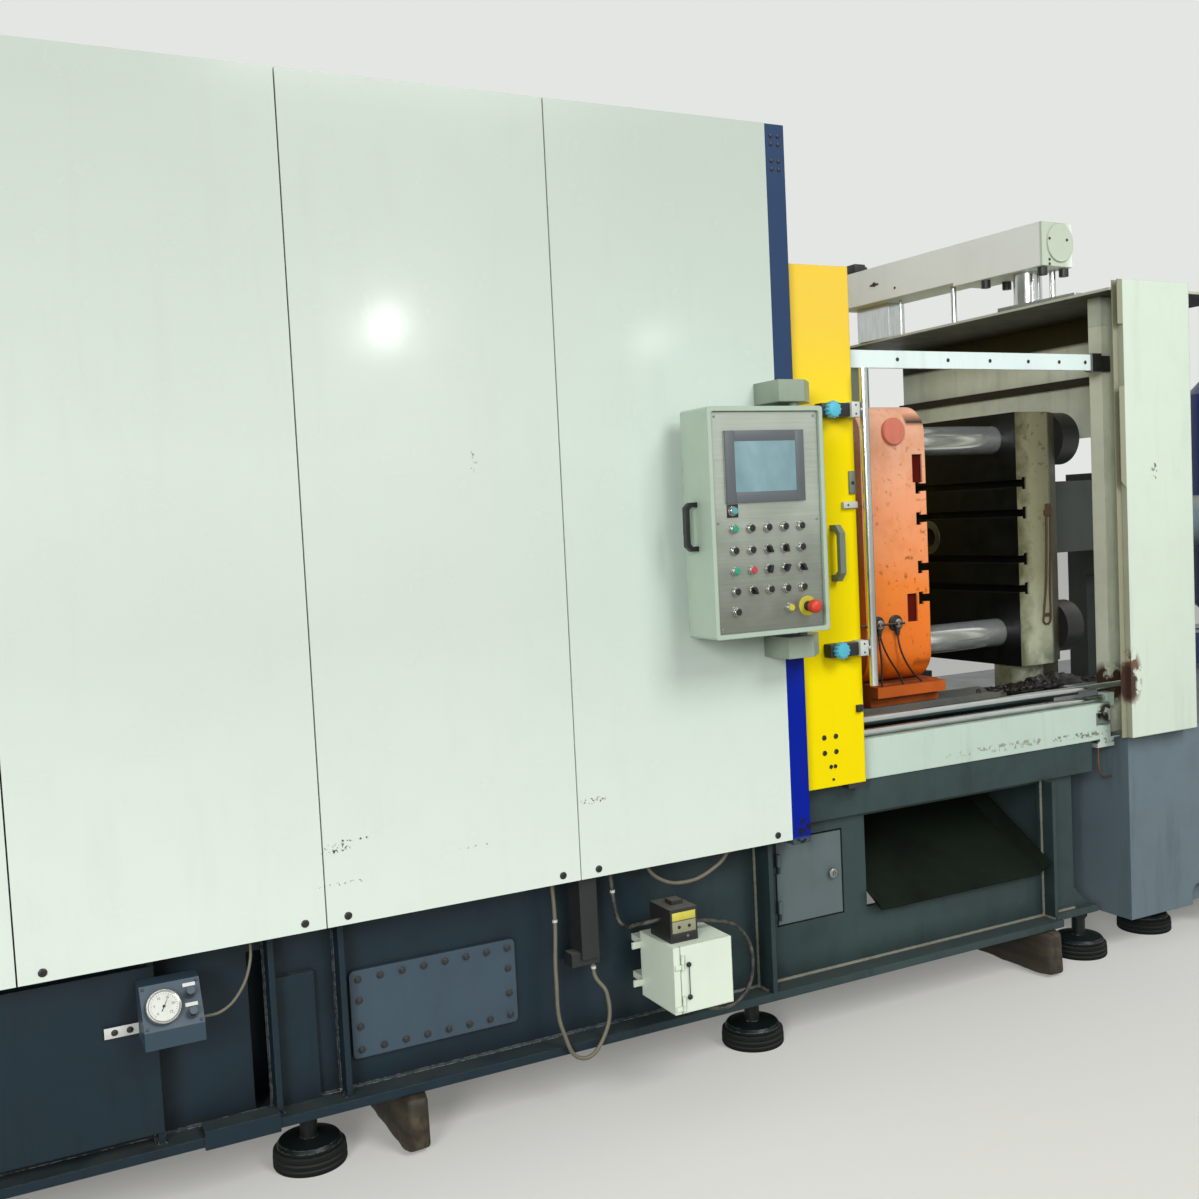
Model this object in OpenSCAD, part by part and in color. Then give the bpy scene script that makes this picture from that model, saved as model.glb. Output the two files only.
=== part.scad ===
// Cold-chamber die casting machine with its guards, control pendant and shot end.
// x runs from the clamping end to the shot end, y from the operator's side to the
// back and z up from the floor. Places inside the modules are taken from the left
// end of the guard walls, the machine's centre plane and the floor.

/* [Guard walls] */
// Pitch of the wall panels along the machine
panel_pitch = 740; // [600:10:800]
// Number of wall panels on each side
panel_count = 4; // [4:1:5]
// Height of a wall panel
panel_h = 2200; // [2100:10:2400]
// Height of the panels' lower edge above the floor
panel_foot = 680; // [640:5:700]
// Depth of a panel's folded edges
panel_d = 28; // [20:1:35]
// Gap between two panels
panel_gap = 4; // [2:0.5:6]
// Thickness of the folded sheets
sheet = 3; // [2:0.5:4]
// Width over both guard walls
guard_w = 1880; // [1840:10:2000]
// Size of the frame tubes behind the panels
frame_s = 60; // [40:5:60]
// Depth of the roof sheets
roof_d = 30; // [20:1:50]
// Width of the corner post
post_w = 70; // [50:1:90]
// Depth of the corner post
post_d = 40; // [30:1:41]
// How far the corner post lies behind the panel faces
post_inset = 4; // [2:1:5]

/* [Safety door] */
// Width of the sliding safety door
door_w = 1340; // [1200:10:1400]
// Height of the sliding safety door
door_h = 1663; // [1400:1:1700]
// Height of the door's lower edge above the floor
door_foot = 812; // [805:1:830]
// Depth of the door's folded edges
door_d = 40; // [30:1:42]
// How far the door's face lies behind the panel faces
door_inset = 50; // [50:1:55]
// How far the open door stands out past the wall panels
door_show = 331; // [200:1:400]
// Width of the operator's opening
opening_w = 1420; // [1400:1:1500]
// Height of the flat upper guide bar
top_bar_h = 58; // [40:1:70]
// Height of the upper guide bar's lower edge above the floor
top_bar_z = 2163; // [2100:1:2200]
// Diameter of the two lower guide rods
rod_d = 24; // [16:1:30]
// Height of the upper of the two guide rods above the floor
rod_z = 1000; // [995:1:1020]
// Distance between the two guide rods
rod_pitch = 44; // [40:1:50]
// Diameter of the tube along the door's leading edge
edge_tube_d = 28; // [20:1:34]
// Length of the tube along the door's leading edge
edge_tube_l = 1020; // [900:10:1200]

/* [Platens] */
// Width and height of a platen
platen_w = 1020; // [960:10:1040]
// Thickness of the moving platen
moving_t = 300; // [200:5:320]
// Thickness of the fixed platen
fixed_t = 280; // [220:5:300]
// Thickness of the end platen
end_t = 270; // [200:5:300]
// Radius of the platens' corners
corner_r = 110; // [60:5:120]
// Distance between the two die faces
die_gap = 453; // [350:1:600]
// Height of the die centre above the floor
die_z = 1565; // [1540:1:1600]
// Stroke of the moving platen
stroke = 550; // [300:10:550]
// Length that the folded toggle links take behind the moving platen
toggle_space = 905; // [880:5:930]
// Distance between the tie bars' axes
bar_pitch = 762; // [720:1:780]
// Diameter of a tie bar
bar_d = 110; // [90:1:120]
// Running gap round the tie bars
bar_fit = 0.3; // [0.2:0.1:0.5]
// Width of a clamping slot's neck
slot_w = 28; // [18:1:30]
// Width of a clamping slot's head
slot_head_w = 46; // [36:1:50]
// Depth of a clamping slot's neck
slot_neck = 28; // [20:1:30]
// Depth of a clamping slot's head
slot_head = 22; // [15:1:25]

/* [Base] */
// Height of the base's deck above the floor
deck_z = 817; // [812:1:830]
// Height of the base's lower flange above the floor
foot_z = 165; // [140:1:180]
// How far the base's side beams lie behind the panel faces
base_inset = 100; // [90:1:110]
// Height of the base's side beams
beam_h = 124; // [100:1:140]
// Thickness of the base's webs
web_t = 20; // [12:1:25]
// Thickness of the base's lower flanges
flange_t = 25; // [15:1:30]
// Height of the bed rails
rail_h = 123; // [100:1:140]
// Width of a bed rail
rail_w = 160; // [120:1:180]
// Thickness of the wear plates
wear_t = 32; // [20:1:40]
// Distance from the discharge opening to the end of the base
chute_margin = 154; // [120:1:200]
// Lower edge of the discharge opening above the floor
chute_z = 369; // [340:1:400]
// Radius of a levelling mount's pad
pad_r = 100; // [80:1:110]

/* [Shot end] */
// Length of the shot end's base
shot_base_l = 2640; // [2500:1:2800]
// Bore of the shot sleeve
sleeve_bore = 80; // [50:1:90]
// Outer diameter of the shot sleeve
sleeve_d = 140; // [120:1:160]
// Length of the shot sleeve behind the fixed platen
sleeve_l = 330; // [250:5:400]
// Diameter of the shot cylinder
shot_cyl_d = 240; // [200:5:280]
// Length of the shot cylinder
shot_cyl_l = 1000; // [800:10:1100]
// Diameter of a gas accumulator
bottle_d = 270; // [220:5:300]
// Height of a gas accumulator
bottle_h = 1500; // [1200:10:1600]

/* [Hood and column] */
// Width of the guard column at the shot end
column_w = 347; // [300:1:400]
// Height of the column's top edge above the floor
column_top = 2475; // [2465:1:2600]
// Height of the hood's roof above the floor
hood_z = 2450; // [2400:1:2455]
// Length of the hood's roof along the machine
hood_l = 740; // [600:5:800]
// Width of the lifting beam above the hood
beam_w = 172; // [120:1:180]
// Depth of the lifting beam above the hood
lift_beam_h = 150; // [120:1:180]
// Length of the lifting beam above the hood
lift_beam_l = 1160; // [1000:10:1300]
// Turn of the lifting beam away from square
lift_beam_turn = 4; // [0:1:6]

/* [Control pendant] */
// Width of the control pendant
pendant_w = 398; // [360:1:420]
// Height of the control pendant
pendant_h = 660; // [640:1:700]
// Depth of the control pendant
pendant_d = 146; // [120:1:160]
// Gap between the pendant and the wall panels
pendant_gap = 54; // [40:1:60]
// Height of the pendant's lower face above the floor
pendant_z = 1350; // [1300:1:1380]
// Width of the pendant's raised rim
rim_w = 14; // [10:1:18]
// Depth of the pendant's recessed face
recess = 12; // [8:1:16]
// Pitch of the push buttons
button_pitch = 58; // [52:1:60]
// Height of the emergency stop above the pendant's face
stop_h = 56; // [40:1:60]

/* [Electrical boxes] */
// Width of the junction box
box_w = 196; // [150:1:240]
// Height of the junction box
box_h = 195; // [150:1:240]
// Depth of the junction box
box_d = 196; // [150:1:196]
// Width of the gauge box
gauge_w = 143; // [130:1:170]
// Height of the gauge box
gauge_h = 142; // [130:1:160]
// Depth of the gauge box at its foot
gauge_d = 118; // [100:1:130]
// Diameter of the cables
cable_d = 12; // [8:1:14]

/* [Hidden] */
$fn = 48;
// Clearance between pieces that touch
seat = 0.3;
// Clearance between a pin and its hole
pin_fit = 0.4;
// Clearance between pieces that move past each other
run = 6;
// Overshoot of a cut past the face that it opens
cut = 1;

// Guard walls
guard_l = panel_pitch * panel_count;
wall_y = -guard_w / 2;
frame_y = wall_y + panel_d;
panel_top = panel_foot + panel_h;
rail_top = panel_top - roof_d;
frame_foot = 690;
end_sheet_h = 550;

// Door and its guides
door_x = guard_l + door_show - door_w;
door_y = wall_y + door_inset;
door_back = door_y + door_d;
door_edge = guard_l + door_show;
top_bar_t = 12;
top_bar_y = door_back + 16;
rail_post_y = wall_y + base_inset + 48;
sill_w = 48;
sill_z = deck_z;
sill_h = 123;
lip_t = 4;
lip_z = 806;
lip_h = 6;
rod_y = wall_y + base_inset + sill_w / 2;
door_rib_h = 120;
carriage_w = 100;
carriage_in = 100;
roller_r = 20;

// Column and hood
column_x = guard_l + post_w + opening_w;
strip_w = 26;
column_d = 26;
column_block_x = column_x + strip_w + 110;
inner_post_w = 60;
inner_post_x = column_x + 73;
inner_post_y = wall_y + base_inset + 40;
sill_end = column_x + 22;
hood_t = 10;
hood_x = column_x - 10;
hood_wall_x = hood_x + 494;
hood_wall_h = 490;
post_cap_h = 106;

// Platens and bed
die_x = column_x - 78;
moving_x = die_x - die_gap;
end_face_x = moving_x - moving_t - stroke - toggle_space;
bar_at = bar_pitch / 2;
bar_r = bar_d / 2;
nut_r = 105;
nut_l = 90;
slot_zs = [-205, -90, 90, 205];
bed_x = 900;
bed_end = die_x + fixed_t + 22;
bed_top = deck_z + rail_h;
shoe_z = bed_top + wear_t + seat;
rail_y = platen_w / 2 - rail_w;

// Base
base_x = panel_d + panel_gap / 2;
base_end = die_x - 83;
beam_end = base_end + 88;
beam_w_base = 60;
beam_y = wall_y + base_inset;
web_y = beam_y + 20;
beam_z = deck_z - beam_h;
flange_w = 200;
flange_y = wall_y + 40;
end_foot_l = 100;
gusset_s = 80;
rib_t = 16;
rib_out = 55;
rib_top = frame_foot - seat;
chute_x = guard_l + 372;
chute_l = base_end - chute_margin - chute_x;
chute_h = beam_z - chute_z - 12;
hatch_x = guard_l + 8;
hatch_w = 258;
hatch_z = 366;
hatch_h = 274;
hatch_t = 10;
cross_t = 25;
cross_xs = [base_x, guard_l / 3, guard_l * 2 / 3, guard_l - 20, base_end - cross_t];
deck_t = 20;

// Shot end
shot_base_x = column_x + 70;
shot_drop = 50;
total_l = shot_base_x + shot_base_l;
fixed_back = die_x + fixed_t;
shot_frame_l = 850;
shot_plate_t = 110;
shot_cyl_x = fixed_back + shot_frame_l + shot_plate_t;

// Control pendant
pendant_x = guard_l + 23 - pendant_w;
pendant_y = wall_y - pendant_gap - pendant_d;
face_t = 3;
pendant_reach = pendant_gap + pendant_d - recess + face_t + stop_h;
pivot_x = guard_l - 6;
pivot_y = wall_y - 100;
pivot_r = 15;
pivot_in = 35;
pivot_gap = 20;
pivot_block_h = 65;

// Electrical boxes
box_x = 2425;
box_y = wall_y - 150;
box_z = 285;
side_cover_t = 6;
gauge_x = 1007;
gauge_back = web_y - rib_out - side_cover_t - seat;
gauge_z = 480;
gauge_band = 45;
gauge_lean = 60;
duct_x = 2230;
duct_y = wall_y + 40;

// Everything is placed so that the origin is the middle of the footprint.
module placed() {
    translate([-total_l / 2, pendant_reach / 2, 0]) children();
}

// Both sides of the machine's centre plane.
module both_sides() {
    children();
    mirror([0, 1, 0]) children();
}

// Folded sheet tray with its face at y = 0 and its edges running back to y = d.
module tray(w, h, d) {
    difference() {
        cube([w, d, h]);
        translate([sheet, sheet, sheet]) cube([w - 2 * sheet, d, h - 2 * sheet]);
    }
}

// Rectangle with round corners, in the plane of the sketch.
module round_rect(w, h, r) {
    translate([r, 0]) square([w - 2 * r, h]);
    translate([0, r]) square([w, h - 2 * r]);
    for (x = [r, w - r]) {
        for (y = [r, h - r]) {
            translate([x, y]) circle(r);
        }
    }
}

// Round bar along x.
module bar_x(r, l) {
    rotate([0, 90, 0]) cylinder(r = r, h = l);
}

// Round bar along y.
module bar_y(r, l) {
    rotate([-90, 0, 0]) cylinder(r = r, h = l);
}

// Base: side frames, cross frame, deck, tray, covers, feet
last_rib_x = chute_x + chute_l;
flange_end = last_rib_x + rib_t;
rib_xs = [280, 1036, 1335, 1522, last_rib_x];
rear_rib_xs = [280, 1054, 1828, 2602, 3376, 4100];

// Upright rib outside the web. Its outer part stops below the wall's frame rail.
module base_rib(x, out) {
    translate([x, 0, 0]) rotate([90, 0, 90]) linear_extrude(rib_t)
        polygon([[web_y - out, foot_z], [web_y + cut, foot_z], [web_y + cut, beam_z + cut],
            [beam_y, beam_z + cut], [beam_y, rib_top], [web_y - out, rib_top]]);
}

module base_side(ribs) {
    translate([base_x, beam_y, beam_z]) cube([beam_end - base_x, beam_w_base, beam_h]);
    translate([base_x, web_y, foot_z]) cube([base_end - base_x, web_t, beam_z - foot_z + cut]);
    translate([base_x, flange_y, foot_z]) cube([flange_end - base_x, flange_w, flange_t]);
    for (x = ribs) {
        base_rib(x, rib_out);
    }
    // Foot under the end, with its gusset
    translate([flange_end - cut, beam_y, foot_z])
        cube([base_end + end_foot_l - flange_end + cut, flange_y + flange_w - beam_y, flange_t]);
    translate([base_end - cut, web_y + web_t, foot_z + flange_t - cut]) rotate([90, 0, 0])
        linear_extrude(web_t) polygon([[0, 0], [gusset_s, 0], [0, gusset_s]]);
}

knuckle_r = 7;
knuckle_l = 40;
knuckle_in = 2;
knuckle_zs = [40, hatch_h - 80];

// Fixed half of the access door's hinge: leaf and knuckle below each moving one.
module hatch_hinge() {
    for (z = knuckle_zs) {
        translate([hatch_x - 20, web_y - 4, hatch_z + run + z - 22]) cube([run + 20 - cut, 5, 21]);
        translate([hatch_x + run + knuckle_in, web_y - knuckle_r, hatch_z + run + z - 22])
            cylinder(r = knuckle_r - cut, h = 22 - seat);
    }
}

web_slot_x = 1290;
web_slot_h = 430;
side_cover_z = 222;
side_cover_h = 428;
infill_w = 112;
infill_t = 15;
infill_h = 350;
angle_x = 1144;
angle_h = 49;

// Sheet on the first two ribs, plate beside the third and angle over the flange.
module base_front_sheets() {
    translate([base_x, web_y - rib_out - side_cover_t, side_cover_z])
        cube([rib_xs[1] + rib_t - base_x, side_cover_t + cut, side_cover_h]);
    translate([rib_xs[2] + rib_t - cut, web_y - infill_t, foot_z + flange_t - cut])
        cube([infill_w, infill_t + cut, infill_h]);
    translate([angle_x, flange_y - 5, foot_z + flange_t + 17 - angle_h])
        cube([rib_xs[2] - angle_x + cut, 55, angle_h]);
}

module base_front() {
    color("slategray") placed() {
        difference() {
            base_side(rib_xs);
            translate([chute_x, beam_y - cut, chute_z]) cube([chute_l, 200, chute_h]);
            translate([hatch_x, beam_y - cut, hatch_z]) cube([hatch_w + 2 * run, 200, hatch_h + 2 * run]);
            translate([web_slot_x, web_y - cut, foot_z + flange_t])
                cube([rib_xs[2] - web_slot_x, web_t + 2 * cut, web_slot_h]);
        }
        hatch_hinge();
        base_front_sheets();
        // End plate below the wall's last panel, out to the edge of the flange
        base_rib(guard_l - 70, web_y - flange_y);
    }
}

module base_rear() {
    color("slategray") placed() mirror([0, 1, 0]) base_side(rear_rib_xs);
}

module base_cross_frame() {
    half = -(web_y + web_t);
    beam_half = -(beam_y + beam_w_base);
    low = foot_z + flange_t;
    top = deck_z - deck_t;
    color("darkslategray") placed() {
        for (x = cross_xs) {
            translate([x, 0, 0]) rotate([90, 0, 90]) linear_extrude(cross_t)
                polygon([[-half, low], [half, low], [half, beam_z], [beam_half, beam_z],
                    [beam_half, top], [-beam_half, top], [-beam_half, beam_z], [-half, beam_z]]);
        }
    }
}

module base_deck() {
    half = -(beam_y + beam_w_base);
    color("slategray") placed() difference() {
        translate([base_x, -half, deck_z - deck_t]) cube([base_end - base_x, 2 * half, deck_t]);
        translate([moving_x - 200, -rail_y + 10, deck_z - deck_t - cut])
            cube([500, 2 * rail_y - 20, deck_t + 2 * cut]);
    }
}

tray_slope = 32;
tray_run = 620;
tray_t = 6;
tray_lip = 24;
tray_wall = 50;
tray_flare = 35;

module discharge_tray() {
    w = chute_l - 2 * run;
    side_t = tray_t * norm([tray_flare, tray_wall]) / tray_wall;
    bend = tray_flare + side_t - tray_flare * tray_t / tray_wall;
    color("dimgray") placed()
        translate([chute_x + run, web_y - tray_lip, chute_z + seat - tray_lip * tan(tray_slope)])
        rotate([tray_slope, 0, 0]) translate([0, tray_run, 0]) rotate([90, 0, 0])
        linear_extrude(tray_run)
        polygon([[0, tray_wall], [tray_flare, 0], [w - tray_flare, 0], [w, tray_wall],
            [w - side_t, tray_wall], [w - bend, tray_t], [bend, tray_t], [side_t, tray_wall]]);
}

cover_x = 1557;
cover_w = 489;
cover_z = 270;
cover_h = 244;

module access_cover() {
    color("slategray") placed()
        translate([cover_x, web_y, cover_z])
        rotate([90, 0, 0])
        linear_extrude(12) round_rect(cover_w, cover_h, 14);
}

module base_access_door() {
    color("slategray") placed()
        translate([hatch_x + run, web_y, hatch_z + run]) {
            cube([hatch_w, hatch_t, hatch_h]);
            for (z = knuckle_zs) {
                translate([knuckle_in, -knuckle_r, z]) cylinder(r = knuckle_r, h = knuckle_l);
            }
            translate([hatch_w - 40, 0, hatch_h / 2]) rotate([90, 0, 0]) cylinder(r = 13, h = 8);
        }
}

foot_xs = [170, 1434, 2882, base_end + end_foot_l - 40];
shot_foot_xs = [shot_base_x + 250, total_l - 300];

module levelling_mount(top) {
    cylinder(r = pad_r, h = 46);
    translate([0, 0, 46]) cylinder(r = pad_r - 16, h = 24);
    translate([0, 0, 70]) cylinder(r = 26, h = top - 70 - 26);
    translate([0, 0, top - 26]) cylinder(r = 34, h = 26, $fn = 6);
}

module levelling_mounts() {
    color("dimgray") placed() both_sides() {
        for (x = foot_xs) {
            translate([x, flange_y + 120, 0]) levelling_mount(foot_z);
        }
        for (x = shot_foot_xs) {
            translate([x, flange_y + 180, 0]) levelling_mount(foot_z - shot_drop);
        }
    }
}

bearer_xs = [1659, 4042];
bearer_w = 88;
bearer_l = 420;

module timber_bearers() {
    color("saddlebrown") placed() both_sides() {
        for (x = bearer_xs) {
            translate([x, flange_y - 30, 0]) cube([bearer_w, bearer_l, foot_z]);
        }
    }
}

// Bed, platens and tie bars
module bed_rails() {
    color("dimgray") placed() both_sides() {
        difference() {
            translate([bed_x, rail_y, deck_z]) cube([bed_end - bed_x, rail_w, rail_h]);
            translate([bed_x - cut, rail_y + 30, deck_z + 25])
                cube([bed_end - bed_x + 2 * cut, rail_w, rail_h - 50]);
        }
    }
}

wear_l = 1400;

module wear_plates() {
    color("silver") placed() both_sides() {
        translate([base_end - wear_l, rail_y, bed_top]) cube([wear_l, rail_w, wear_t]);
    }
}

// Outline of a platen, centred on the die centre, in the y-z plane.
module platen_plate(t) {
    translate([0, -platen_w / 2, -platen_w / 2])
        rotate([90, 0, 90])
        linear_extrude(t) round_rect(platen_w, platen_w, corner_r);
}

module bar_holes(x, l) {
    for (y = [-bar_at, bar_at]) {
        for (z = [-bar_at, bar_at]) {
            translate([x, y, z]) bar_x(bar_r + bar_fit, l);
        }
    }
}

// Clamping slots cut into a face at x = 0, going back along +x.
module clamp_slots() {
    for (z = slot_zs) {
        translate([-cut, -platen_w, z - slot_w / 2]) cube([slot_neck + 2 * cut, 2 * platen_w, slot_w]);
        translate([slot_neck, -platen_w, z - slot_head_w / 2]) cube([slot_head, 2 * platen_w, slot_head_w]);
    }
}

lug_t = 60;
lug_l = 170;
lug_r = 85;

// Toggle lugs on the back of a platen, with their pins in place.
module toggle_lugs() {
    for (z = [-250, 250]) {
        for (y = [-290, -110, 110, 290]) {
            translate([0, y - lug_t / 2, z - lug_r]) cube([lug_l - lug_r, lug_t, 2 * lug_r]);
            translate([lug_l - lug_r, y - lug_t / 2, z]) bar_y(lug_r, lug_t);
        }
        for (y = [-200, 200]) {
            translate([lug_l - lug_r, y - 90 + lug_t / 2, z]) bar_y(38, 180 - lug_t);
        }
    }
}

pocket_d = 20;
pocket_h = 103;

module moving_platen() {
    color("orangered") placed() translate([moving_x, 0, die_z]) difference() {
        union() {
            translate([-moving_t, 0, 0]) platen_plate(moving_t);
            translate([-moving_t, 0, 0]) mirror([1, 0, 0]) toggle_lugs();
        }
        bar_holes(-moving_t - cut, moving_t + 2 * cut);
        mirror([1, 0, 0]) clamp_slots();
        for (y = [-1, 1]) {
            translate([-62, y * platen_w / 2 - pocket_d, 224]) cube([46, 2 * pocket_d, pocket_h]);
            translate([-105, y * platen_w / 2 - pocket_d, -289]) cube([46, 2 * pocket_d, pocket_h]);
        }
    }
}

shoe_l = 320;
shoe_ledge_y = 490;
shoe_ledge_z = 1010;

module platen_shoes() {
    top = die_z - platen_w / 2;
    color("orangered") placed() both_sides() {
        translate([moving_x - moving_t + 15, rail_y + 10, shoe_z]) cube([shoe_l, rail_w - 20, top - shoe_z]);
        // Ledge along the outer side
        translate([moving_x - moving_t + 15, shoe_ledge_y, shoe_ledge_z]) cube([shoe_l, 53, 40]);
    }
}

gland_xs = [moving_x - 252, moving_x - 168];
gland_z = die_z - 288;
plug_z = die_z + 412;
side_y = -platen_w / 2;

// Plug, two cable glands and the rod that joins them.
module platen_fittings() {
    color("lightcoral") placed() {
        translate([moving_x - 150, side_y - 14, plug_z]) bar_y(50, 14);
        for (x = gland_xs) {
            translate([x, side_y - 10, gland_z]) bar_y(30, 10);
            translate([x, side_y - 26, gland_z]) bar_y(18, 26);
            translate([x, side_y - 13, gland_z - 46]) cylinder(r = 9, h = 46);
        }
        translate([gland_xs[0] - 100, side_y - 30, gland_z]) bar_x(5, gland_xs[1] - gland_xs[0] + 120);
    }
}

module end_platen() {
    color("slategray") placed() translate([end_face_x, 0, die_z]) {
        difference() {
            union() {
                translate([-end_t, 0, 0]) platen_plate(end_t);
                toggle_lugs();
                both_sides() translate([-end_t, rail_y, bed_top - die_z])
                    cube([end_t, rail_w, die_z - bed_top - platen_w / 2 + corner_r]);
            }
            bar_holes(-end_t - cut, end_t + 2 * cut);
        }
    }
}

module tie_bars() {
    start = end_face_x - end_t - nut_l;
    color("silver") placed() translate([start, 0, die_z]) {
        for (y = [-bar_at, bar_at]) {
            for (z = [-bar_at, bar_at]) {
                translate([0, y, z]) bar_x(bar_r, fixed_back + nut_l - start);
            }
        }
    }
}

module tie_bar_nuts() {
    color("dimgray") placed() translate([0, 0, die_z]) {
        for (x = [end_face_x - end_t - nut_l, fixed_back + seat]) {
            for (y = [-bar_at, bar_at]) {
                for (z = [-bar_at, bar_at]) {
                    translate([x, y, z]) difference() {
                        bar_x(nut_r, nut_l - seat);
                        translate([-cut, 0, 0]) bar_x(bar_r + bar_fit, nut_l + 2 * cut);
                    }
                }
            }
        }
    }
}

pad_cut = 250;
pad_step = 50;
side_l = 168;
side_in = 70;

module fixed_platen() {
    half = platen_w / 2;
    color("cornsilk") placed() translate([die_x, 0, die_z]) difference() {
        union() {
            translate([0, 0, -half]) linear_extrude(platen_w - 30)
                polygon([[0, -half], [side_l, -half], [fixed_t, -half + side_in],
                    [fixed_t, half - side_in], [side_l, half], [0, half]]);
            both_sides() translate([12, rail_y, bed_top - die_z])
                cube([fixed_t - 24, rail_w - side_in, -half - bed_top + die_z + cut]);
        }
        bar_holes(-cut, fixed_t + 2 * cut);
        clamp_slots();
        translate([-cut, 0, 0]) bar_x(sleeve_d / 2 + pin_fit, fixed_t + 2 * cut);
        for (a = [0, 90, 180, 270]) {
            rotate([a, 0, 0]) translate([-cut, half - pad_cut, half])
                rotate([45, 0, 0]) cube([pad_step + cut, pad_cut * 2, pad_cut * 2], center = false);
        }
    }
}

// Shot end
shot_panels = [[480, 580], [1220, 1100]];
shot_panel_in = 40;
shot_panel_z = 300;
shot_panel_h = 380;
fork_x = 335;
fork_w = 135;
fork_h = 79;

module shot_base() {
    half = -(beam_y - 40);
    color("slategray") placed() {
        difference() {
            translate([shot_base_x, -half, foot_z - shot_drop])
                cube([shot_base_l, 2 * half, deck_z - foot_z + shot_drop]);
            for (y = [-half - cut, half - shot_panel_in + cut]) {
                for (p = shot_panels) {
                    translate([shot_base_x + p[0], y, shot_panel_z]) cube([p[1], shot_panel_in, shot_panel_h]);
                }
                // Arch in the lower edge for a lifting fork
                translate([shot_base_x + fork_x, y + shot_panel_in, foot_z - shot_drop - fork_h])
                    rotate([90, 0, 0]) linear_extrude(shot_panel_in) round_rect(fork_w, 2 * fork_h, 40);
            }
        }
    }
}

module shot_sleeve() {
    l = fixed_t + sleeve_l;
    color("silver") placed() translate([die_x, 0, die_z]) difference() {
        union() {
            bar_x(sleeve_d / 2, l);
            translate([fixed_t + seat, 0, 0]) bar_x(sleeve_d / 2 + 22, 30);
        }
        translate([-cut, 0, 0]) bar_x(sleeve_bore / 2, l + 2 * cut);
        translate([l - 170, -sleeve_bore / 2 + 8, 0]) cube([110, sleeve_bore - 16, sleeve_d]);
    }
}

module plunger_rod() {
    start = fixed_t + sleeve_l - 50;
    l = shot_frame_l - start + fixed_t;
    color("silver") placed() translate([die_x + start, 0, die_z]) {
        bar_x(sleeve_bore / 2 - pin_fit, 90);
        translate([90, 0, 0]) bar_x(sleeve_bore / 2 - 10, l - 90);
        translate([l - 330, 0, 0]) bar_x(62, 130);
    }
}

beam_in = 190;
frame_beam_w = 70;
frame_beam_h = 300;
frame_flange_w = 150;
frame_flange_h = 340;
frame_plate_w = 600;
frame_plate_h = 480;
frame_low = 230;
frame_leg_w = 110;

// Two beams from the fixed platen to the plate that carries the shot cylinder.
module shot_frame() {
    color("slategray") placed() translate([fixed_back + seat, 0, die_z]) {
        both_sides() {
            translate([0, beam_in, -90]) cube([shot_frame_l, frame_beam_w, frame_beam_h]);
            translate([0, beam_in - 40, -110]) cube([60, frame_flange_w, frame_flange_h]);
            translate([shot_frame_l, beam_in, deck_z - die_z])
                cube([shot_plate_t - seat, frame_leg_w, die_z - deck_z - frame_low]);
        }
        difference() {
            translate([shot_frame_l, -frame_plate_w / 2, -frame_low])
                cube([shot_plate_t - seat, frame_plate_w, frame_plate_h]);
            translate([shot_frame_l - cut, 0, 0]) bar_x(sleeve_bore / 2 - 9, shot_plate_t + 2 * cut);
        }
    }
}

saddle_x = 400;
saddle_w = 240;
saddle_t = 120;

module shot_cylinder() {
    color("steelblue") placed() translate([shot_cyl_x, 0, die_z]) {
        bar_x(shot_cyl_d / 2 + 25, 70);
        translate([70, 0, 0]) bar_x(shot_cyl_d / 2, shot_cyl_l - 160);
        translate([shot_cyl_l - 90, 0, 0]) bar_x(shot_cyl_d / 2 + 25, 90);
        // Saddle under the cylinder
        translate([shot_cyl_l - saddle_x, -saddle_w / 2, deck_z - die_z])
            cube([saddle_t, saddle_w, die_z - deck_z - shot_cyl_d / 2 - seat]);
    }
}

bottle_pitch = 400;
bottle_end = 420;
bottle_xs = [total_l - bottle_end - bottle_pitch, total_l - bottle_end];
bottle_y = 430;
bottle_foot_l = 340;
bottle_foot_w = 300;

module accumulators() {
    color("midnightblue") placed() {
        for (x = bottle_xs) {
            translate([x, bottle_y, deck_z]) {
                translate([-bottle_foot_l / 2, -bottle_foot_w / 2, 0])
                    cube([bottle_foot_l, bottle_foot_w, 160 - seat]);
                translate([0, 0, 160]) cylinder(r = 70, h = 80 + cut);
                translate([0, 0, 240]) cylinder(r1 = 70, r2 = bottle_d / 2, h = 60);
                translate([0, 0, 300]) cylinder(r = bottle_d / 2, h = bottle_h - 400);
                translate([0, 0, bottle_h - 100]) cylinder(r1 = bottle_d / 2, r2 = 60, h = 80);
                translate([0, 0, bottle_h - 20]) cylinder(r = 36, h = 60);
            }
        }
    }
}

// Guard walls
module wall_panels() {
    for (i = [0:panel_count - 1]) {
        translate([i * panel_pitch + panel_gap / 2, wall_y, panel_foot])
            tray(panel_pitch - panel_gap, panel_h, panel_d);
    }
}

module front_panels() {
    color("honeydew") placed() wall_panels();
}

module rear_panels() {
    color("honeydew") placed() mirror([0, 1, 0]) wall_panels();
}

module frame_post(x) {
    low = frame_foot + frame_s + seat;
    translate([x, frame_y, low]) cube([frame_s, frame_s, rail_top - frame_s - seat - low]);
}

// Two rails with the posts between them, as far as the door's pocket.
module wall_frame(last_x) {
    translate([panel_d, frame_y, frame_foot])
        cube([guard_l - panel_d, beam_y - frame_y, frame_s]);
    translate([panel_d, frame_y, rail_top - frame_s])
        cube([guard_l - panel_d, frame_s, frame_s]);
    frame_post(panel_d);
    for (i = [1:panel_count - 1]) {
        if (i * panel_pitch + frame_s / 2 + run < last_x) {
            frame_post(i * panel_pitch - frame_s / 2);
        }
    }
}

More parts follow.
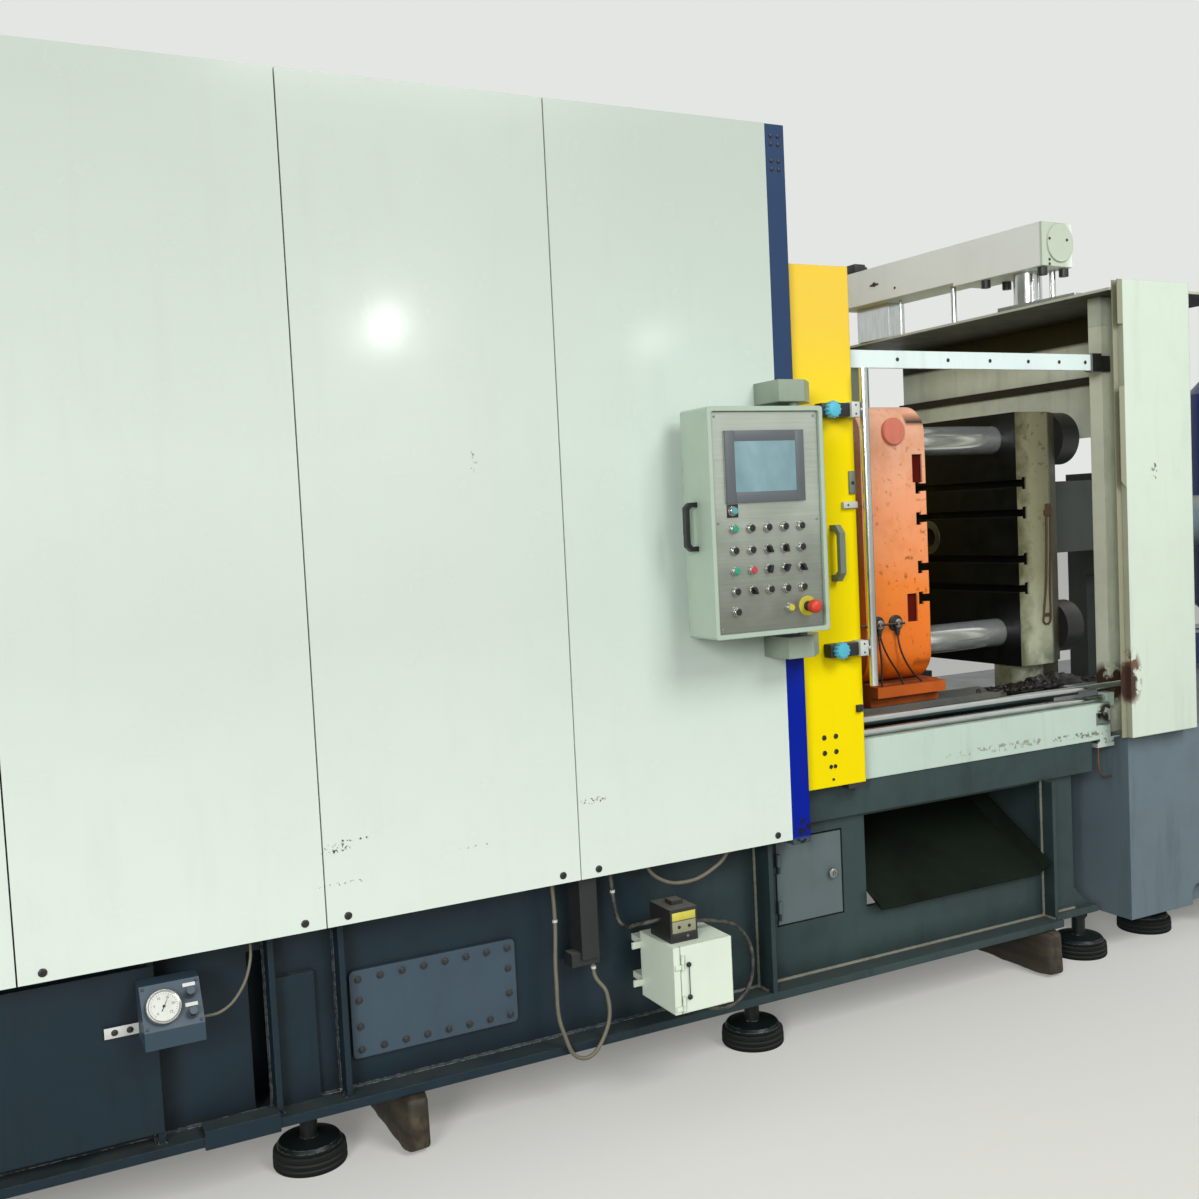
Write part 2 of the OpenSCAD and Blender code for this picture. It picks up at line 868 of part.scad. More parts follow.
// Blue channel at the end of a wall, open to the inside.
module end_post() {
    translate([guard_l, wall_y + post_inset, panel_foot - 2]) difference() {
        cube([post_w, post_d, panel_h + 2]);
        translate([5, 5, -cut]) cube([post_w - 10, post_d, panel_h + 2 + 2 * cut]);
    }
}

module front_frame() {
    color("midnightblue") placed() {
        wall_frame(door_x);
        // Posts that carry the door's guides
        for (x = [door_x - frame_s - run, guard_l + post_w + 30]) {
            translate([x, rail_post_y, deck_z]) cube([frame_s, frame_s, top_bar_z + top_bar_h - deck_z]);
        }
    }
}

module corner_post() {
    low = panel_foot - 2;
    y = wall_y + post_inset;
    color("navy") placed() {
        end_post();
        // Foot that carries the post from the base's web
        translate([guard_l + 2, y, low - 16]) cube([post_w - 4, web_y - seat - y, 16 + cut]);
    }
}

module rear_frame() {
    color("midnightblue") placed() mirror([0, 1, 0]) {
        wall_frame(guard_l);
        end_post();
    }
}

module end_panels() {
    half = guard_w / 2 - panel_d;
    sheet_half = -(door_back + run);
    color("honeydew") placed() {
        both_sides() translate([0, -panel_gap / 2, panel_foot])
            rotate([0, 0, -90])
            tray(half - panel_gap / 2, rail_top - panel_foot, panel_d);
        // Sheet that closes the guard above the moving platen
        translate([guard_l - sheet, -sheet_half, rail_top - end_sheet_h])
            cube([sheet, 2 * sheet_half, end_sheet_h]);
    }
}

module roof_panels() {
    color("honeydew") placed() {
        for (i = [0:panel_count - 1]) {
            translate([i * panel_pitch + panel_gap / 2, frame_y, panel_top])
                rotate([-90, 0, 0])
                tray(panel_pitch - panel_gap, -2 * frame_y, roof_d);
        }
    }
}

module rear_door() {
    color("gold") placed() mirror([0, 1, 0])
        translate([guard_l + post_w + seat, wall_y + post_inset, door_foot])
        tray(opening_w - 2 * seat, door_h, door_d);
}

// Sliding safety door and its guides
module safety_door() {
    color("gold") placed() translate([door_x, door_y, door_foot]) {
        tray(door_w, door_h, door_d);
        for (z = [rod_z, door_foot + door_h / 2, top_bar_z + top_bar_h / 2]) {
            translate([sheet, sheet, z - door_foot - door_rib_h / 2])
                cube([door_w - 2 * sheet, door_d - sheet, door_rib_h]);
        }
    }
}

module door_carriages() {
    top = top_bar_z + top_bar_h;
    color("dimgray") placed() {
        for (x = [door_x + carriage_in, door_edge - carriage_in - carriage_w]) {
            translate([x, door_back, rod_z - 20]) difference() {
                cube([carriage_w, rod_y - door_back + 17, 40]);
                translate([-cut, rod_y - door_back, 20]) bar_x(rod_d / 2 + 0.5, carriage_w + 2 * cut);
            }
            translate([x, door_back, top - 45]) cube([carriage_w, 6, 45 + 2 * roller_r]);
            translate([x + carriage_w / 2, door_back + 6, top + roller_r + seat]) bar_y(roller_r, 30);
        }
        // Foot under the door's leading corner
        translate([door_edge - 70, door_y, door_foot - 16]) cube([70, door_d, 16 - seat]);
    }
}

handle_l = 180;
handle_x = door_edge - 108;
handle_z = 1475;
handle_out = 50;
handle_s = 22;

module door_handle() {
    color("gray") placed() translate([handle_x, door_y, handle_z])
        rotate([90, 0, 90])
        linear_extrude(handle_s)
        polygon([[0, 0], [-handle_out + 22, 0], [-handle_out, 26], [-handle_out, handle_l - 26],
            [-handle_out + 22, handle_l], [0, handle_l], [0, handle_l - 20],
            [-handle_out + 30, handle_l - 20], [-handle_out + 16, handle_l - 34],
            [-handle_out + 16, 34], [-handle_out + 30, 20], [0, 20]]);
}

edge_tube_x = door_edge + 16;
clamp_end = door_edge - 4;
edge_tube_y = wall_y + 10;
edge_tube_z = 1130;
clamp_zs = [1255, 2018];

module door_edge_tube() {
    color("silver") placed() {
        translate([edge_tube_x, edge_tube_y, edge_tube_z]) cylinder(r = edge_tube_d / 2, h = edge_tube_l);
        for (z = clamp_zs) {
            translate([clamp_end + seat, edge_tube_y, z]) bar_x(6, edge_tube_x - clamp_end - seat);
        }
    }
}

module tube_clamps() {
    color("deepskyblue") placed() {
        for (z = clamp_zs) {
            translate([clamp_end - 108, door_y - 60, z]) bar_y(28, 22 + cut);
            translate([clamp_end - 146, door_y - 38, z - 22]) cube([112 + cut, 38, 44]);
            translate([clamp_end - 34, door_y - 46, z - 25]) cube([34, 46, 50]);
        }
    }
}

module door_top_bar() {
    start = door_x - frame_s;
    end = column_x + 28;
    block_l = 48;
    color("whitesmoke") placed() {
        translate([start, top_bar_y, top_bar_z]) cube([end - block_l - start, top_bar_t, top_bar_h]);
        // End block and the lug that holds it to the inner post
        translate([end - block_l, top_bar_y - 6, top_bar_z - 4]) cube([block_l, 30, top_bar_h + 8]);
        translate([end - block_l, inner_post_y - 12, top_bar_z])
            cube([inner_post_x + inner_post_w / 2 - end + block_l, 12 - seat, top_bar_h]);
        for (x = [start, guard_l + post_w + 34]) {
            translate([x, top_bar_y + top_bar_t, top_bar_z + 8])
                cube([frame_s - 10, rail_post_y - top_bar_y - top_bar_t, top_bar_h - 16]);
        }
    }
}

rod_block_w = 40;
sill_notch_z = 859;

// Beam under the door with its front sheet, the lip that runs on behind the column,
// and the blocks that hold the guide rods.
module door_sill_beam() {
    start = door_x - frame_s;
    top = sill_z + sill_h;
    color("cornsilk") placed() {
        difference() {
            translate([start, beam_y, sill_z]) cube([sill_end - start, sill_w, sill_h]);
            // Notch by the end of the lower rod
            translate([sill_end - 72, beam_y - cut, sill_notch_z]) cube([66, 30 + cut, 46]);
        }
        difference() {
            translate([start, beam_y - lip_t, sill_z]) cube([sill_end - start, lip_t + cut, sill_h]);
            translate([sill_end - 72, beam_y - lip_t - cut, sill_notch_z]) cube([66, lip_t + 3 * cut, 46]);
        }
        translate([start, beam_y - lip_t, lip_z]) cube([sill_end - start, lip_t, sill_z - lip_z + cut]);
        translate([start, beam_y - lip_t, lip_z]) cube([shot_base_x - seat - start, lip_t, lip_h]);
        translate([sill_end - 69, beam_y - lip_t, lip_z - 30]) cube([87, sill_w, 30 + cut]);
        translate([start, beam_y + 2, top - cut]) cube([rod_block_w, sill_w - 4, rod_z + 22 - top + cut]);
        translate([sill_end - 6, beam_y + 2, top - 15]) cube([36, sill_w - 4, 50]);
    }
}

module door_rods() {
    start = door_x - frame_s + rod_block_w;
    color("silver") placed() {
        translate([start, rod_y, rod_z]) bar_x(rod_d / 2, column_block_x - seat - start);
        translate([start, rod_y, rod_z - rod_pitch]) bar_x(rod_d / 2, sill_end - 6 - start);
    }
}

// Column, hood and lifting beam
tab_zs = [1753, 2095, 2316];

// Part of the column's front edge, flush with its face. The slant is cut from its lower end.
module column_tab(low, high, slant) {
    translate([column_x, wall_y + sheet, 0]) rotate([90, 0, 0]) linear_extrude(sheet)
        polygon([[strip_w + cut, low - slant], [0, low], [0, high], [strip_w + cut, high]]);
}

module side_column() {
    translate([column_x + strip_w, wall_y, deck_z]) tray(column_w, column_top - deck_z, column_d);
    translate([column_x, wall_y + column_d - sheet, deck_z])
        cube([strip_w + sheet, sheet, column_top - deck_z]);
    translate([column_block_x, wall_y + sheet, deck_z])
        cube([160, 120, hood_z - hood_t - deck_z]);
    column_tab(tab_zs[0], tab_zs[1], strip_w);
    column_tab(tab_zs[2], column_top, 0);
}

module right_column() {
    color("cornsilk") placed() side_column();
}

module rear_column() {
    color("cornsilk") placed() mirror([0, 1, 0]) side_column();
}

module inner_post() {
    color("cornsilk") placed()
        translate([inner_post_x, inner_post_y, deck_z])
        cube([inner_post_w, inner_post_w, hood_z - hood_t - post_cap_h - deck_z]);
}

module hood_roof() {
    half = -(wall_y + column_d);
    notch_w = post_inset + door_d - column_d + seat;
    color("cornsilk") placed() {
        difference() {
            translate([hood_x, -half, hood_z - hood_t]) cube([hood_l, 2 * half, hood_t]);
            // Notch round the end of the rear door
            translate([hood_x - cut, half - notch_w, hood_z - hood_t - cut])
                cube([column_x - hood_x + cut, notch_w + cut, hood_t + 2 * cut]);
        }
        // Cap on the inner post
        translate([inner_post_x, inner_post_y, hood_z - hood_t - post_cap_h])
            cube([inner_post_w, inner_post_w, post_cap_h + cut]);
    }
}

module hood_wall() {
    half = -(wall_y + column_d + 130);
    z = hood_z - hood_t - hood_wall_h;
    color("cornsilk") placed() {
        translate([hood_wall_x, -half, z]) cube([4, 2 * half, hood_wall_h]);
        translate([hood_wall_x - 30, -half, z + 218]) cube([30, 2 * half, 28]);
    }
}

lift_x = column_x + 65;
lift_y = wall_y + 330;
lift_z = 2600;
lift_plate_l = 450;
lift_plate_t = 14;
slab_t = 14;
knob_h = 32;

module lift_beam() {
    color("cornsilk") placed() translate([lift_x, lift_y, lift_z]) rotate([0, 0, lift_beam_turn]) {
        translate([-beam_w / 2, 0, 0]) cube([beam_w, lift_beam_l, lift_beam_h]);
        translate([-beam_w / 2, 0, -lift_plate_t]) cube([beam_w, lift_plate_l, lift_plate_t + cut]);
        // Round end cover and clamping knobs
        translate([12, -6, lift_beam_h / 2]) bar_y(72, 6 + cut);
        for (x = [-60, 60]) {
            for (y = [22, 300]) {
                translate([x, y, -lift_plate_t - knob_h]) cylinder(r = 18, h = knob_h + cut);
            }
        }
    }
}

// Post and slab under the beam's near end, stays in the middle and a box at the far end.
module lift_columns() {
    foot = hood_z + seat;
    plate_z = lift_z - lift_plate_t - foot;
    color("silver") placed() translate([lift_x, lift_y, foot]) rotate([0, 0, lift_beam_turn]) {
        translate([-58, -120, 0]) cube([116, 367, slab_t]);
        translate([0, 145, slab_t - cut]) cylinder(r = 54, h = plate_z - slab_t + cut);
        translate([44, 62, slab_t - cut]) cylinder(r = 12, h = plate_z - slab_t + cut);
        translate([-20, 510, 0]) cylinder(r = 12, h = lift_z - foot);
        translate([-7, 830, 0]) cylinder(r = 6, h = lift_z - foot);
        translate([-12, 900, 0]) cube([95, 200, lift_z - foot]);
    }
}

// Control pendant
module pendant_pivot() {
    translate([pivot_x, pivot_y, 0]) children();
}

// Two blocks on the wall and the corner post, with the pivots between them and the box.
module pendant_brackets() {
    foot_y = wall_y + post_inset;
    back = wall_y - 2;
    front = pivot_y - 30;
    left = pivot_x - 74;
    right = pivot_x + 84;
    lower = pendant_z - pivot_gap - pivot_block_h;
    upper = pendant_z + pendant_h + pivot_gap;
    color("gray") placed() {
        for (z = [lower, upper]) {
            translate([0, 0, z]) linear_extrude(pivot_block_h)
                polygon([[left, back], [left, front], [right - 64, front], [right, front + 64], [right, back]]);
            translate([guard_l + 2, back - cut, z]) cube([post_w - 4, foot_y - back + cut, pivot_block_h]);
        }
        pendant_pivot() {
            translate([0, 0, pendant_z - pivot_gap - cut]) cylinder(r = pivot_r, h = pivot_gap + pivot_in + cut);
            translate([0, 0, upper - pivot_gap - pivot_in]) cylinder(r = pivot_r, h = pivot_gap + pivot_in + cut);
        }
    }
}

module pendant_box() {
    color("darkseagreen") placed() difference() {
        translate([pendant_x, pendant_y + pendant_d, pendant_z]) rotate([90, 0, 0])
            linear_extrude(pendant_d) round_rect(pendant_w, pendant_h, 10);
        translate([pendant_x + rim_w, pendant_y + recess, pendant_z + rim_w]) rotate([90, 0, 0])
            linear_extrude(recess + cut) round_rect(pendant_w - 2 * rim_w, pendant_h - 2 * rim_w, 6);
        pendant_pivot() {
            translate([0, 0, pendant_z - cut]) cylinder(r = pivot_r + pin_fit, h = pivot_in + 5 + cut);
            translate([0, 0, pendant_z + pendant_h - pivot_in - 5])
                cylinder(r = pivot_r + pin_fit, h = pivot_in + 5 + cut);
        }
    }
}

panel_face_y = pendant_y + recess - face_t;
screen_w = 270;
screen_h = 205;
screen_x = pendant_x + 57;
screen_z = pendant_z + 386;

module pendant_face() {
    w = pendant_w - 2 * rim_w - 4;
    h = pendant_h - 2 * rim_w - 4;
    color("lightgray") placed() {
        translate([pendant_x + rim_w + 2, pendant_y + recess, pendant_z + rim_w + 2]) rotate([90, 0, 0])
            linear_extrude(face_t) round_rect(w, h, 5);
        translate([screen_x, panel_face_y + cut, screen_z]) rotate([90, 0, 0])
            linear_extrude(8 + cut) round_rect(screen_w, screen_h, 6);
    }
}

button_x = pendant_x + 77;
button_rows = [313, 251, 193, 134];
key_z = 364;
stop_z = 76;

module push_button(r, h) {
    rotate([90, 0, 0]) {
        cylinder(r = r + 4, h = 4);
        translate([0, 0, 4]) cylinder(r = r, h = h);
    }
}

module pendant_controls() {
    color("dimgray") placed() translate([button_x, panel_face_y, pendant_z]) {
        translate([0, 0, key_z]) push_button(10, 8);
        for (z = button_rows) {
            for (i = [0:4]) {
                translate([i * button_pitch, 0, z]) push_button(11, 14);
            }
        }
        translate([0, 0, stop_z]) push_button(11, 14);
        translate([3.15 * button_pitch, 0, stop_z]) push_button(12, 16);
        translate([4.25 * button_pitch, 0, stop_z]) rotate([90, 0, 0]) {
            cylinder(r = 30, h = 5);
            translate([0, 0, 5]) cylinder(r = 14, h = 22);
            translate([0, 0, 27]) cylinder(r = 20, h = stop_h - 27);
        }
    }
}

grip_l = 140;
grip_z = pendant_z + 254;

module pendant_handle() {
    color("black") placed() translate([pendant_x, pendant_y + 90, grip_z])
        rotate([90, 0, 0])
        linear_extrude(18)
        polygon([[0, 0], [-24, 0], [-40, 14], [-40, grip_l - 14], [-24, grip_l], [0, grip_l],
            [0, grip_l - 14], [-20, grip_l - 14], [-27, grip_l - 22], [-27, 22], [-20, 14], [0, 14]]);
}

// Electrical boxes and cables
lid_t = 10;
lid_strip = 22;
lid_hinge_r = 5;
lid_hinge_in = 6;
lid_hinge_zs = [24, box_h - 50];

module junction_box() {
    color("ivory") placed() translate([box_x, box_y, box_z]) {
        difference() {
            cube([box_w, box_d, box_h]);
            translate([lid_strip, -cut, -cut]) cube([box_w, lid_t + 2 + cut, box_h + 2 * cut]);
            translate([lid_strip + 8, 0, 8]) cube([box_w - lid_strip - 16, box_d - 8, box_h - 16]);
        }
        for (z = [30, box_h - 50]) {
            translate([-30, box_d - 6, z]) cube([40, 6, 20]);
            translate([10, box_d, z]) cube([box_w - 20, web_y - box_y - box_d, 20]);
        }
        for (z = lid_hinge_zs) {
            translate([4, -3, z - 16]) cube([lid_strip + lid_hinge_in - 4, 3 - seat, 15]);
            translate([4, -3, z - 16]) cube([lid_strip - 4, 3 + cut, 15]);
            translate([lid_strip + lid_hinge_in, -lid_hinge_r, z - 16])
                cylinder(r = lid_hinge_r - cut, h = 16 - seat);
        }
    }
}

module junction_door() {
    color("ivory") placed() translate([box_x + lid_strip, box_y, box_z]) {
        translate([2, 0, 0]) cube([box_w - lid_strip - 2, lid_t, box_h]);
        for (z = lid_hinge_zs) {
            translate([lid_hinge_in, -lid_hinge_r, z]) cylinder(r = lid_hinge_r, h = 26);
        }
    }
}

module transformer_box() {
    color("black") placed() translate([box_x + 16, box_y + 36, box_z + box_h]) {
        cube([90, 120, 98]);
        translate([30, 40, 97]) cube([36, 40, 14]);
    }
}

// Console with a leaning face, and the lug that carries it on the base's cover sheet.
module gauge_box() {
    foot_y = gauge_back - gauge_d;
    color("slategray") placed() translate([gauge_x, 0, gauge_z]) {
        rotate([90, 0, 90]) linear_extrude(gauge_w)
            polygon([[gauge_back, 0], [foot_y, 0], [foot_y, gauge_band], [foot_y + gauge_lean, gauge_h],
                [gauge_back, gauge_h]]);
        translate([0, foot_y, gauge_band]) rotate([-atan2(gauge_lean, gauge_h - gauge_band), 0, 0])
            rotate([90, 0, 0]) {
                translate([51, 54, -cut]) cylinder(r = 41, h = 14 + cut);
                for (z = [28, 77]) {
                    translate([117, z, -cut]) cylinder(r = 10, h = 26 + cut);
                }
            }
        translate([-81, gauge_back - 6, 11]) cube([82, 6, 27]);
    }
}

module cable_duct() {
    color("black") placed() translate([duct_x, duct_y, 430]) {
        cube([56, web_y - duct_y, 250]);
        translate([-30, 10, -20]) cube([90, 50, 40]);
    }
}

// Catmull-Rom point between b and c.
function spline(a, b, c, d, t) =
    0.5 * (2 * b + (c - a) * t + (2 * a - 5 * b + 4 * c - d) * t * t
    + (3 * b - a - 3 * c + d) * t * t * t);
function route(p, n) = let (m = len(p)) [
    for (i = [0:m - 2])
        for (k = [0:n - 1])
            spline(p[max(i - 1, 0)], p[i], p[i + 1], p[min(i + 2, m - 1)], k / n),
    p[m - 1]
];
function unit(v) = v / norm(v);
function side_of(t) = unit(cross(t, [0, 1, 0.01]));

lead_d = 7;

// Tube of eight sides swept along the smoothed points.
module cable(points, d) {
    p = route(points, 3);
    n = len(p);
    rings = [
        for (i = [0:n - 1])
            let (t = unit(p[min(i + 1, n - 1)] - p[max(i - 1, 0)]), u = side_of(t), v = cross(t, u))
                for (k = [0:7])
                    p[i] + d / 2 * (cos(45 * k) * u + sin(45 * k) * v)
    ];
    faces = concat(
        [[for (k = [0:7]) k]],
        [for (i = [0:n - 2]) for (k = [0:7])
            [i * 8 + k, (i + 1) * 8 + k, (i + 1) * 8 + (k + 1) % 8, i * 8 + (k + 1) % 8]],
        [[for (k = [7:-1:0]) (n - 1) * 8 + k]]
    );
    polyhedron(points = rings, faces = faces, convexity = 8);
}

loop_route = [[2150, -885, 689.5], [2152, -890, 560], [2140, -905, 400], [2150, -915, 240],
    [2210, -918, 150], [2280, -916, 200], [2300, -905, 320], [2274, -885, 372], [2272, -880, 409]];
arc_route = [[2460, -890, 689], [2463, -890, 668], [2500, -895, 625], [2590, -895, 600],
    [2690, -895, 625], [2747, -890, 668], [2750, -890, 688]];
feed_route = [[2345, -870, 689], [2347, -875, 640], [2350, -882, 580], [2365, -900, 510],
    [2385, -960, 525], [2412, -998, 538], [2440, -1000, 540]];
drain_route = [[2533.5, -1010, 520], [2620, -990, 500], [2740, -960, 440], [2780, -955, 330],
    [2740, -950, 230], [2640, -950, 215], [2570, -950, 270]];
gauge_route = [[1290, -890, 688.5], [1285, -900, 620], [1250, -925, 555], [1200, -945, 523],
    [1150.5, -950, 520]];

module cables() {
    color("dimgray") placed() {
        cable(loop_route, cable_d);
        cable(arc_route, cable_d);
        cable(feed_route, cable_d);
        cable(drain_route, cable_d);
        cable(gauge_route, cable_d - 4);
    }
}

// Leads from the glands down to the shoe's ledge.
left_lead = [[3664, -523, 1230.1], [3664, -528, 1190], [3667, -530, 1120], [3665, -530, 1080],
    [3665, -530, 1051]];
middle_lead = [[3671, -523, 1229.6], [3680, -528, 1195], [3704, -530, 1148], [3749, -530, 1083],
    [3762, -530, 1052]];
right_lead = [[3751, -523, 1230], [3754, -528, 1195], [3770, -530, 1150], [3816, -530, 1084],
    [3850, -530, 1053.5]];

module platen_cables() {
    color("black") placed() {
        for (lead = [left_lead, middle_lead, right_lead]) {
            cable(lead, lead_d);
        }
    }
}

base_front();
base_rear();
base_cross_frame();
base_deck();
discharge_tray();
access_cover();
base_access_door();
levelling_mounts();
timber_bearers();
bed_rails();
wear_plates();
end_platen();
tie_bars();
tie_bar_nuts();
moving_platen();
platen_shoes();
platen_fittings();
platen_cables();
fixed_platen();
shot_base();
shot_sleeve();
plunger_rod();
shot_frame();
shot_cylinder();
accumulators();
front_panels();
front_frame();
corner_post();
rear_panels();
rear_frame();
end_panels();
roof_panels();
rear_door();
safety_door();
door_carriages();
door_handle();
door_edge_tube();
tube_clamps();
door_top_bar();
door_sill_beam();
door_rods();
right_column();
inner_post();
hood_roof();
hood_wall();
rear_column();
lift_beam();
lift_columns();
pendant_brackets();
pendant_box();
pendant_face();
pendant_controls();
pendant_handle();
junction_box();
junction_door();
transformer_box();
gauge_box();
cable_duct();
cables();
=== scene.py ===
from math import atan2, cos, pi, radians, sin

import bmesh
import bpy
from mathutils import Matrix, Quaternion, Vector
from mathutils import noise as field


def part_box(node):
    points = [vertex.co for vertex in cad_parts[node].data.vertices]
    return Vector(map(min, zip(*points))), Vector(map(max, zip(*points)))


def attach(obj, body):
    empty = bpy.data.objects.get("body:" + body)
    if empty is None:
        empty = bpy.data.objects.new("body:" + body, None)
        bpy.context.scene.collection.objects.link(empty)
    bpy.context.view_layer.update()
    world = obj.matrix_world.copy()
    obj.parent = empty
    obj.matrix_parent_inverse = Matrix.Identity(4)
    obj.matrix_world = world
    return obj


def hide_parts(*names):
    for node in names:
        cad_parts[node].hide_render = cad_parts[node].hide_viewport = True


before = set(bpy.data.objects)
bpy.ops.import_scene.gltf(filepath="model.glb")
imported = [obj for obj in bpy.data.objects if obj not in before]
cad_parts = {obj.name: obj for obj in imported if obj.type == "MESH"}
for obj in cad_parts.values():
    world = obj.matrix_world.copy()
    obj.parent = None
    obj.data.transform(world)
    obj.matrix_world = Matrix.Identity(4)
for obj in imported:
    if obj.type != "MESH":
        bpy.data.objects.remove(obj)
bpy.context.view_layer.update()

# Camera. It stands on the operator's side, level with a person's eyes and turned
# towards the shot end, a little rolled as the picture is.
scene = bpy.context.scene
eye = Vector((-2.916, -4.0915, 1.707))
yaw, pitch, roll = radians(26.852), radians(3.537), radians(-2.813)
focal_pixels, picture_pixels, sensor_mm = 1283.0, 1199.0, 36.0

camera_data = bpy.data.cameras.new("camera")
camera_data.sensor_width = sensor_mm
camera_data.lens = focal_pixels / picture_pixels * sensor_mm
camera_data.clip_end = 200
camera = bpy.data.objects.new("camera", camera_data)
scene.collection.objects.link(camera)
sight = Vector((sin(yaw) * cos(pitch), cos(yaw) * cos(pitch), -sin(pitch)))
camera.rotation_mode = "QUATERNION"
camera.rotation_quaternion = sight.to_track_quat("-Z", "Y") @ Quaternion((0, 0, 1), roll)
camera.location = eye
scene.camera = camera

# Machine places. Metres from the left end of the guard walls, from the machine's
# centre plane and from the floor, which is how the machine itself is set out.


def span(node):
    return [Vector(grime_and_shade_corners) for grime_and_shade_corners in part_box(node)]


wall_low = span("front_panels")[0]
back_y = span("rear_panels")[1].y
left_x = wall_low.x - 0.002
centre_y = (wall_low.y + back_y) / 2


def at(x, y, z):
    return Vector((left_x + x, centre_y + y, z))


def on(face_y, x, z):
    """A place on a face that looks to the front or to the back."""
    return Vector((left_x + x, face_y, z))


FRONT = Vector((0, -1, 0))
BACK = Vector((0, 1, 0))
RIGHT = Vector((1, 0, 0))
LEFT = Vector((-1, 0, 0))
UP = Vector((0, 0, 1))
DOWN = Vector((0, 0, -1))

# Base. Welded plate and beams in dark blue-grey paint that is dusty on top, dark in its corners from oil
# and painted shade, and chipped at its edges, with beads of weld where the plates meet and a plate channel
# behind the slot in its web.


def tint(red, green, blue):
    """A display colour of 0 to 255 as the linear colour that a shader takes."""
    linear = []
    for part in (red / 255, green / 255, blue / 255):
        linear.append(part / 12.92 if part <= 0.04045 else ((part + 0.055) / 1.055) ** 2.4)
    return (*linear, 1.0)


def shade(colour, amount):
    return (*(part * amount for part in colour[:3]), 1.0)


def wire(node, inputs):
    """Links sockets to a node's inputs, and sets plain values there."""
    for key, value in inputs.items():
        if isinstance(value, bpy.types.NodeSocket):
            node.id_data.links.new(value, node.inputs[key])
        else:
            node.inputs[key].default_value = value


def put(near, kind, inputs=(), **settings):
    """A new node in the tree that a node or a socket belongs to."""
    made = near.id_data.nodes.new("ShaderNode" + kind)
    for key, value in settings.items():
        setattr(made, key, value)
    wire(made, dict(inputs))
    return made


def calc(operation, first, second=0.0):
    near = first if isinstance(first, bpy.types.NodeSocket) else second
    return put(near, "Math", {0: first, 1: second}, operation=operation).outputs[0]


def times(first, second):
    return calc("MULTIPLY", first, second)


def blend(amount, under, over):
    return put(amount, "Mix", {0: amount, 6: under, 7: over}, data_type="RGBA").outputs[2]


def ramp(value, start, end, low=0.0, high=1.0):
    return put(value, "MapRange", {0: value, 1: start, 2: end, 3: low, 4: high}).outputs[0]


def split(vector):
    return put(vector, "SeparateXYZ", {0: vector}).outputs


def facing_of(near):
    return put(near, "NewGeometry").outputs["Normal"]


def bump(height, strength, distance, under=None):
    made = put(height, "Bump", {"Strength": strength, "Distance": distance, "Height": height})
    if under:
        wire(made, {"Normal": under})
    return made.outputs[0]


def grain(place, scale, detail=4.0, stretch=None):
    if stretch:
        place = put(place, "Mapping", {"Vector": place, "Scale": stretch}).outputs[0]
    inputs = {"Vector": place, "Scale": scale, "Detail": detail, "Roughness": 0.55}
    return put(place, "TexNoise", inputs).outputs[0]


def new_material(name):
    """A material with its shader and its Object coordinates."""
    made = bpy.data.materials.new(name)
    made.use_nodes = True
    shader = made.node_tree.nodes["Principled BSDF"]
    return made, shader, put(shader, "TexCoord").outputs["Object"]


def parts_of(material):
    """A finished material's shader, what feeds its colour and normal, and coordinates."""
    shader = material.node_tree.nodes["Principled BSDF"]
    colour, normal = (shader.inputs[key].links[0].from_socket for key in ("Base Color", "Normal"))
    return shader, colour, normal, put(shader, "TexCoord").outputs["Object"]


def rounded(near, radius):
    """A softened normal for the plates' sharp edges, and a mask of those edges."""
    bevel = put(near, "Bevel", {"Radius": radius}, samples=2).outputs[0]
    dot = put(near, "VectorMath", {0: bevel, 1: facing_of(near)}, operation="DOT_PRODUCT")
    return bevel, ramp(dot.outputs["Value"], 0.985, 0.86)


def within(place, centre, size):
    """A soft-edged patch round a centre, 1 inside and 0 outside."""
    off = put(place, "VectorMath", {0: place, 1: tuple(centre)}, operation="SUBTRACT").outputs[0]
    part = put(place, "VectorMath", {0: off, 1: tuple(size)}, operation="DIVIDE").outputs[0]
    length = put(place, "VectorMath", {0: part}, operation="LENGTH").outputs["Value"]
    return ramp(length, 1.0, 0.65)


def fading(place, tone, fades):
    """Turns into other colours along an axis, each fade being (axis, start, end, colour)."""
    for axis, start, end, colour in fades:
        tone = blend(ramp(split(place)[axis], start, end), tone, colour)
    return tone


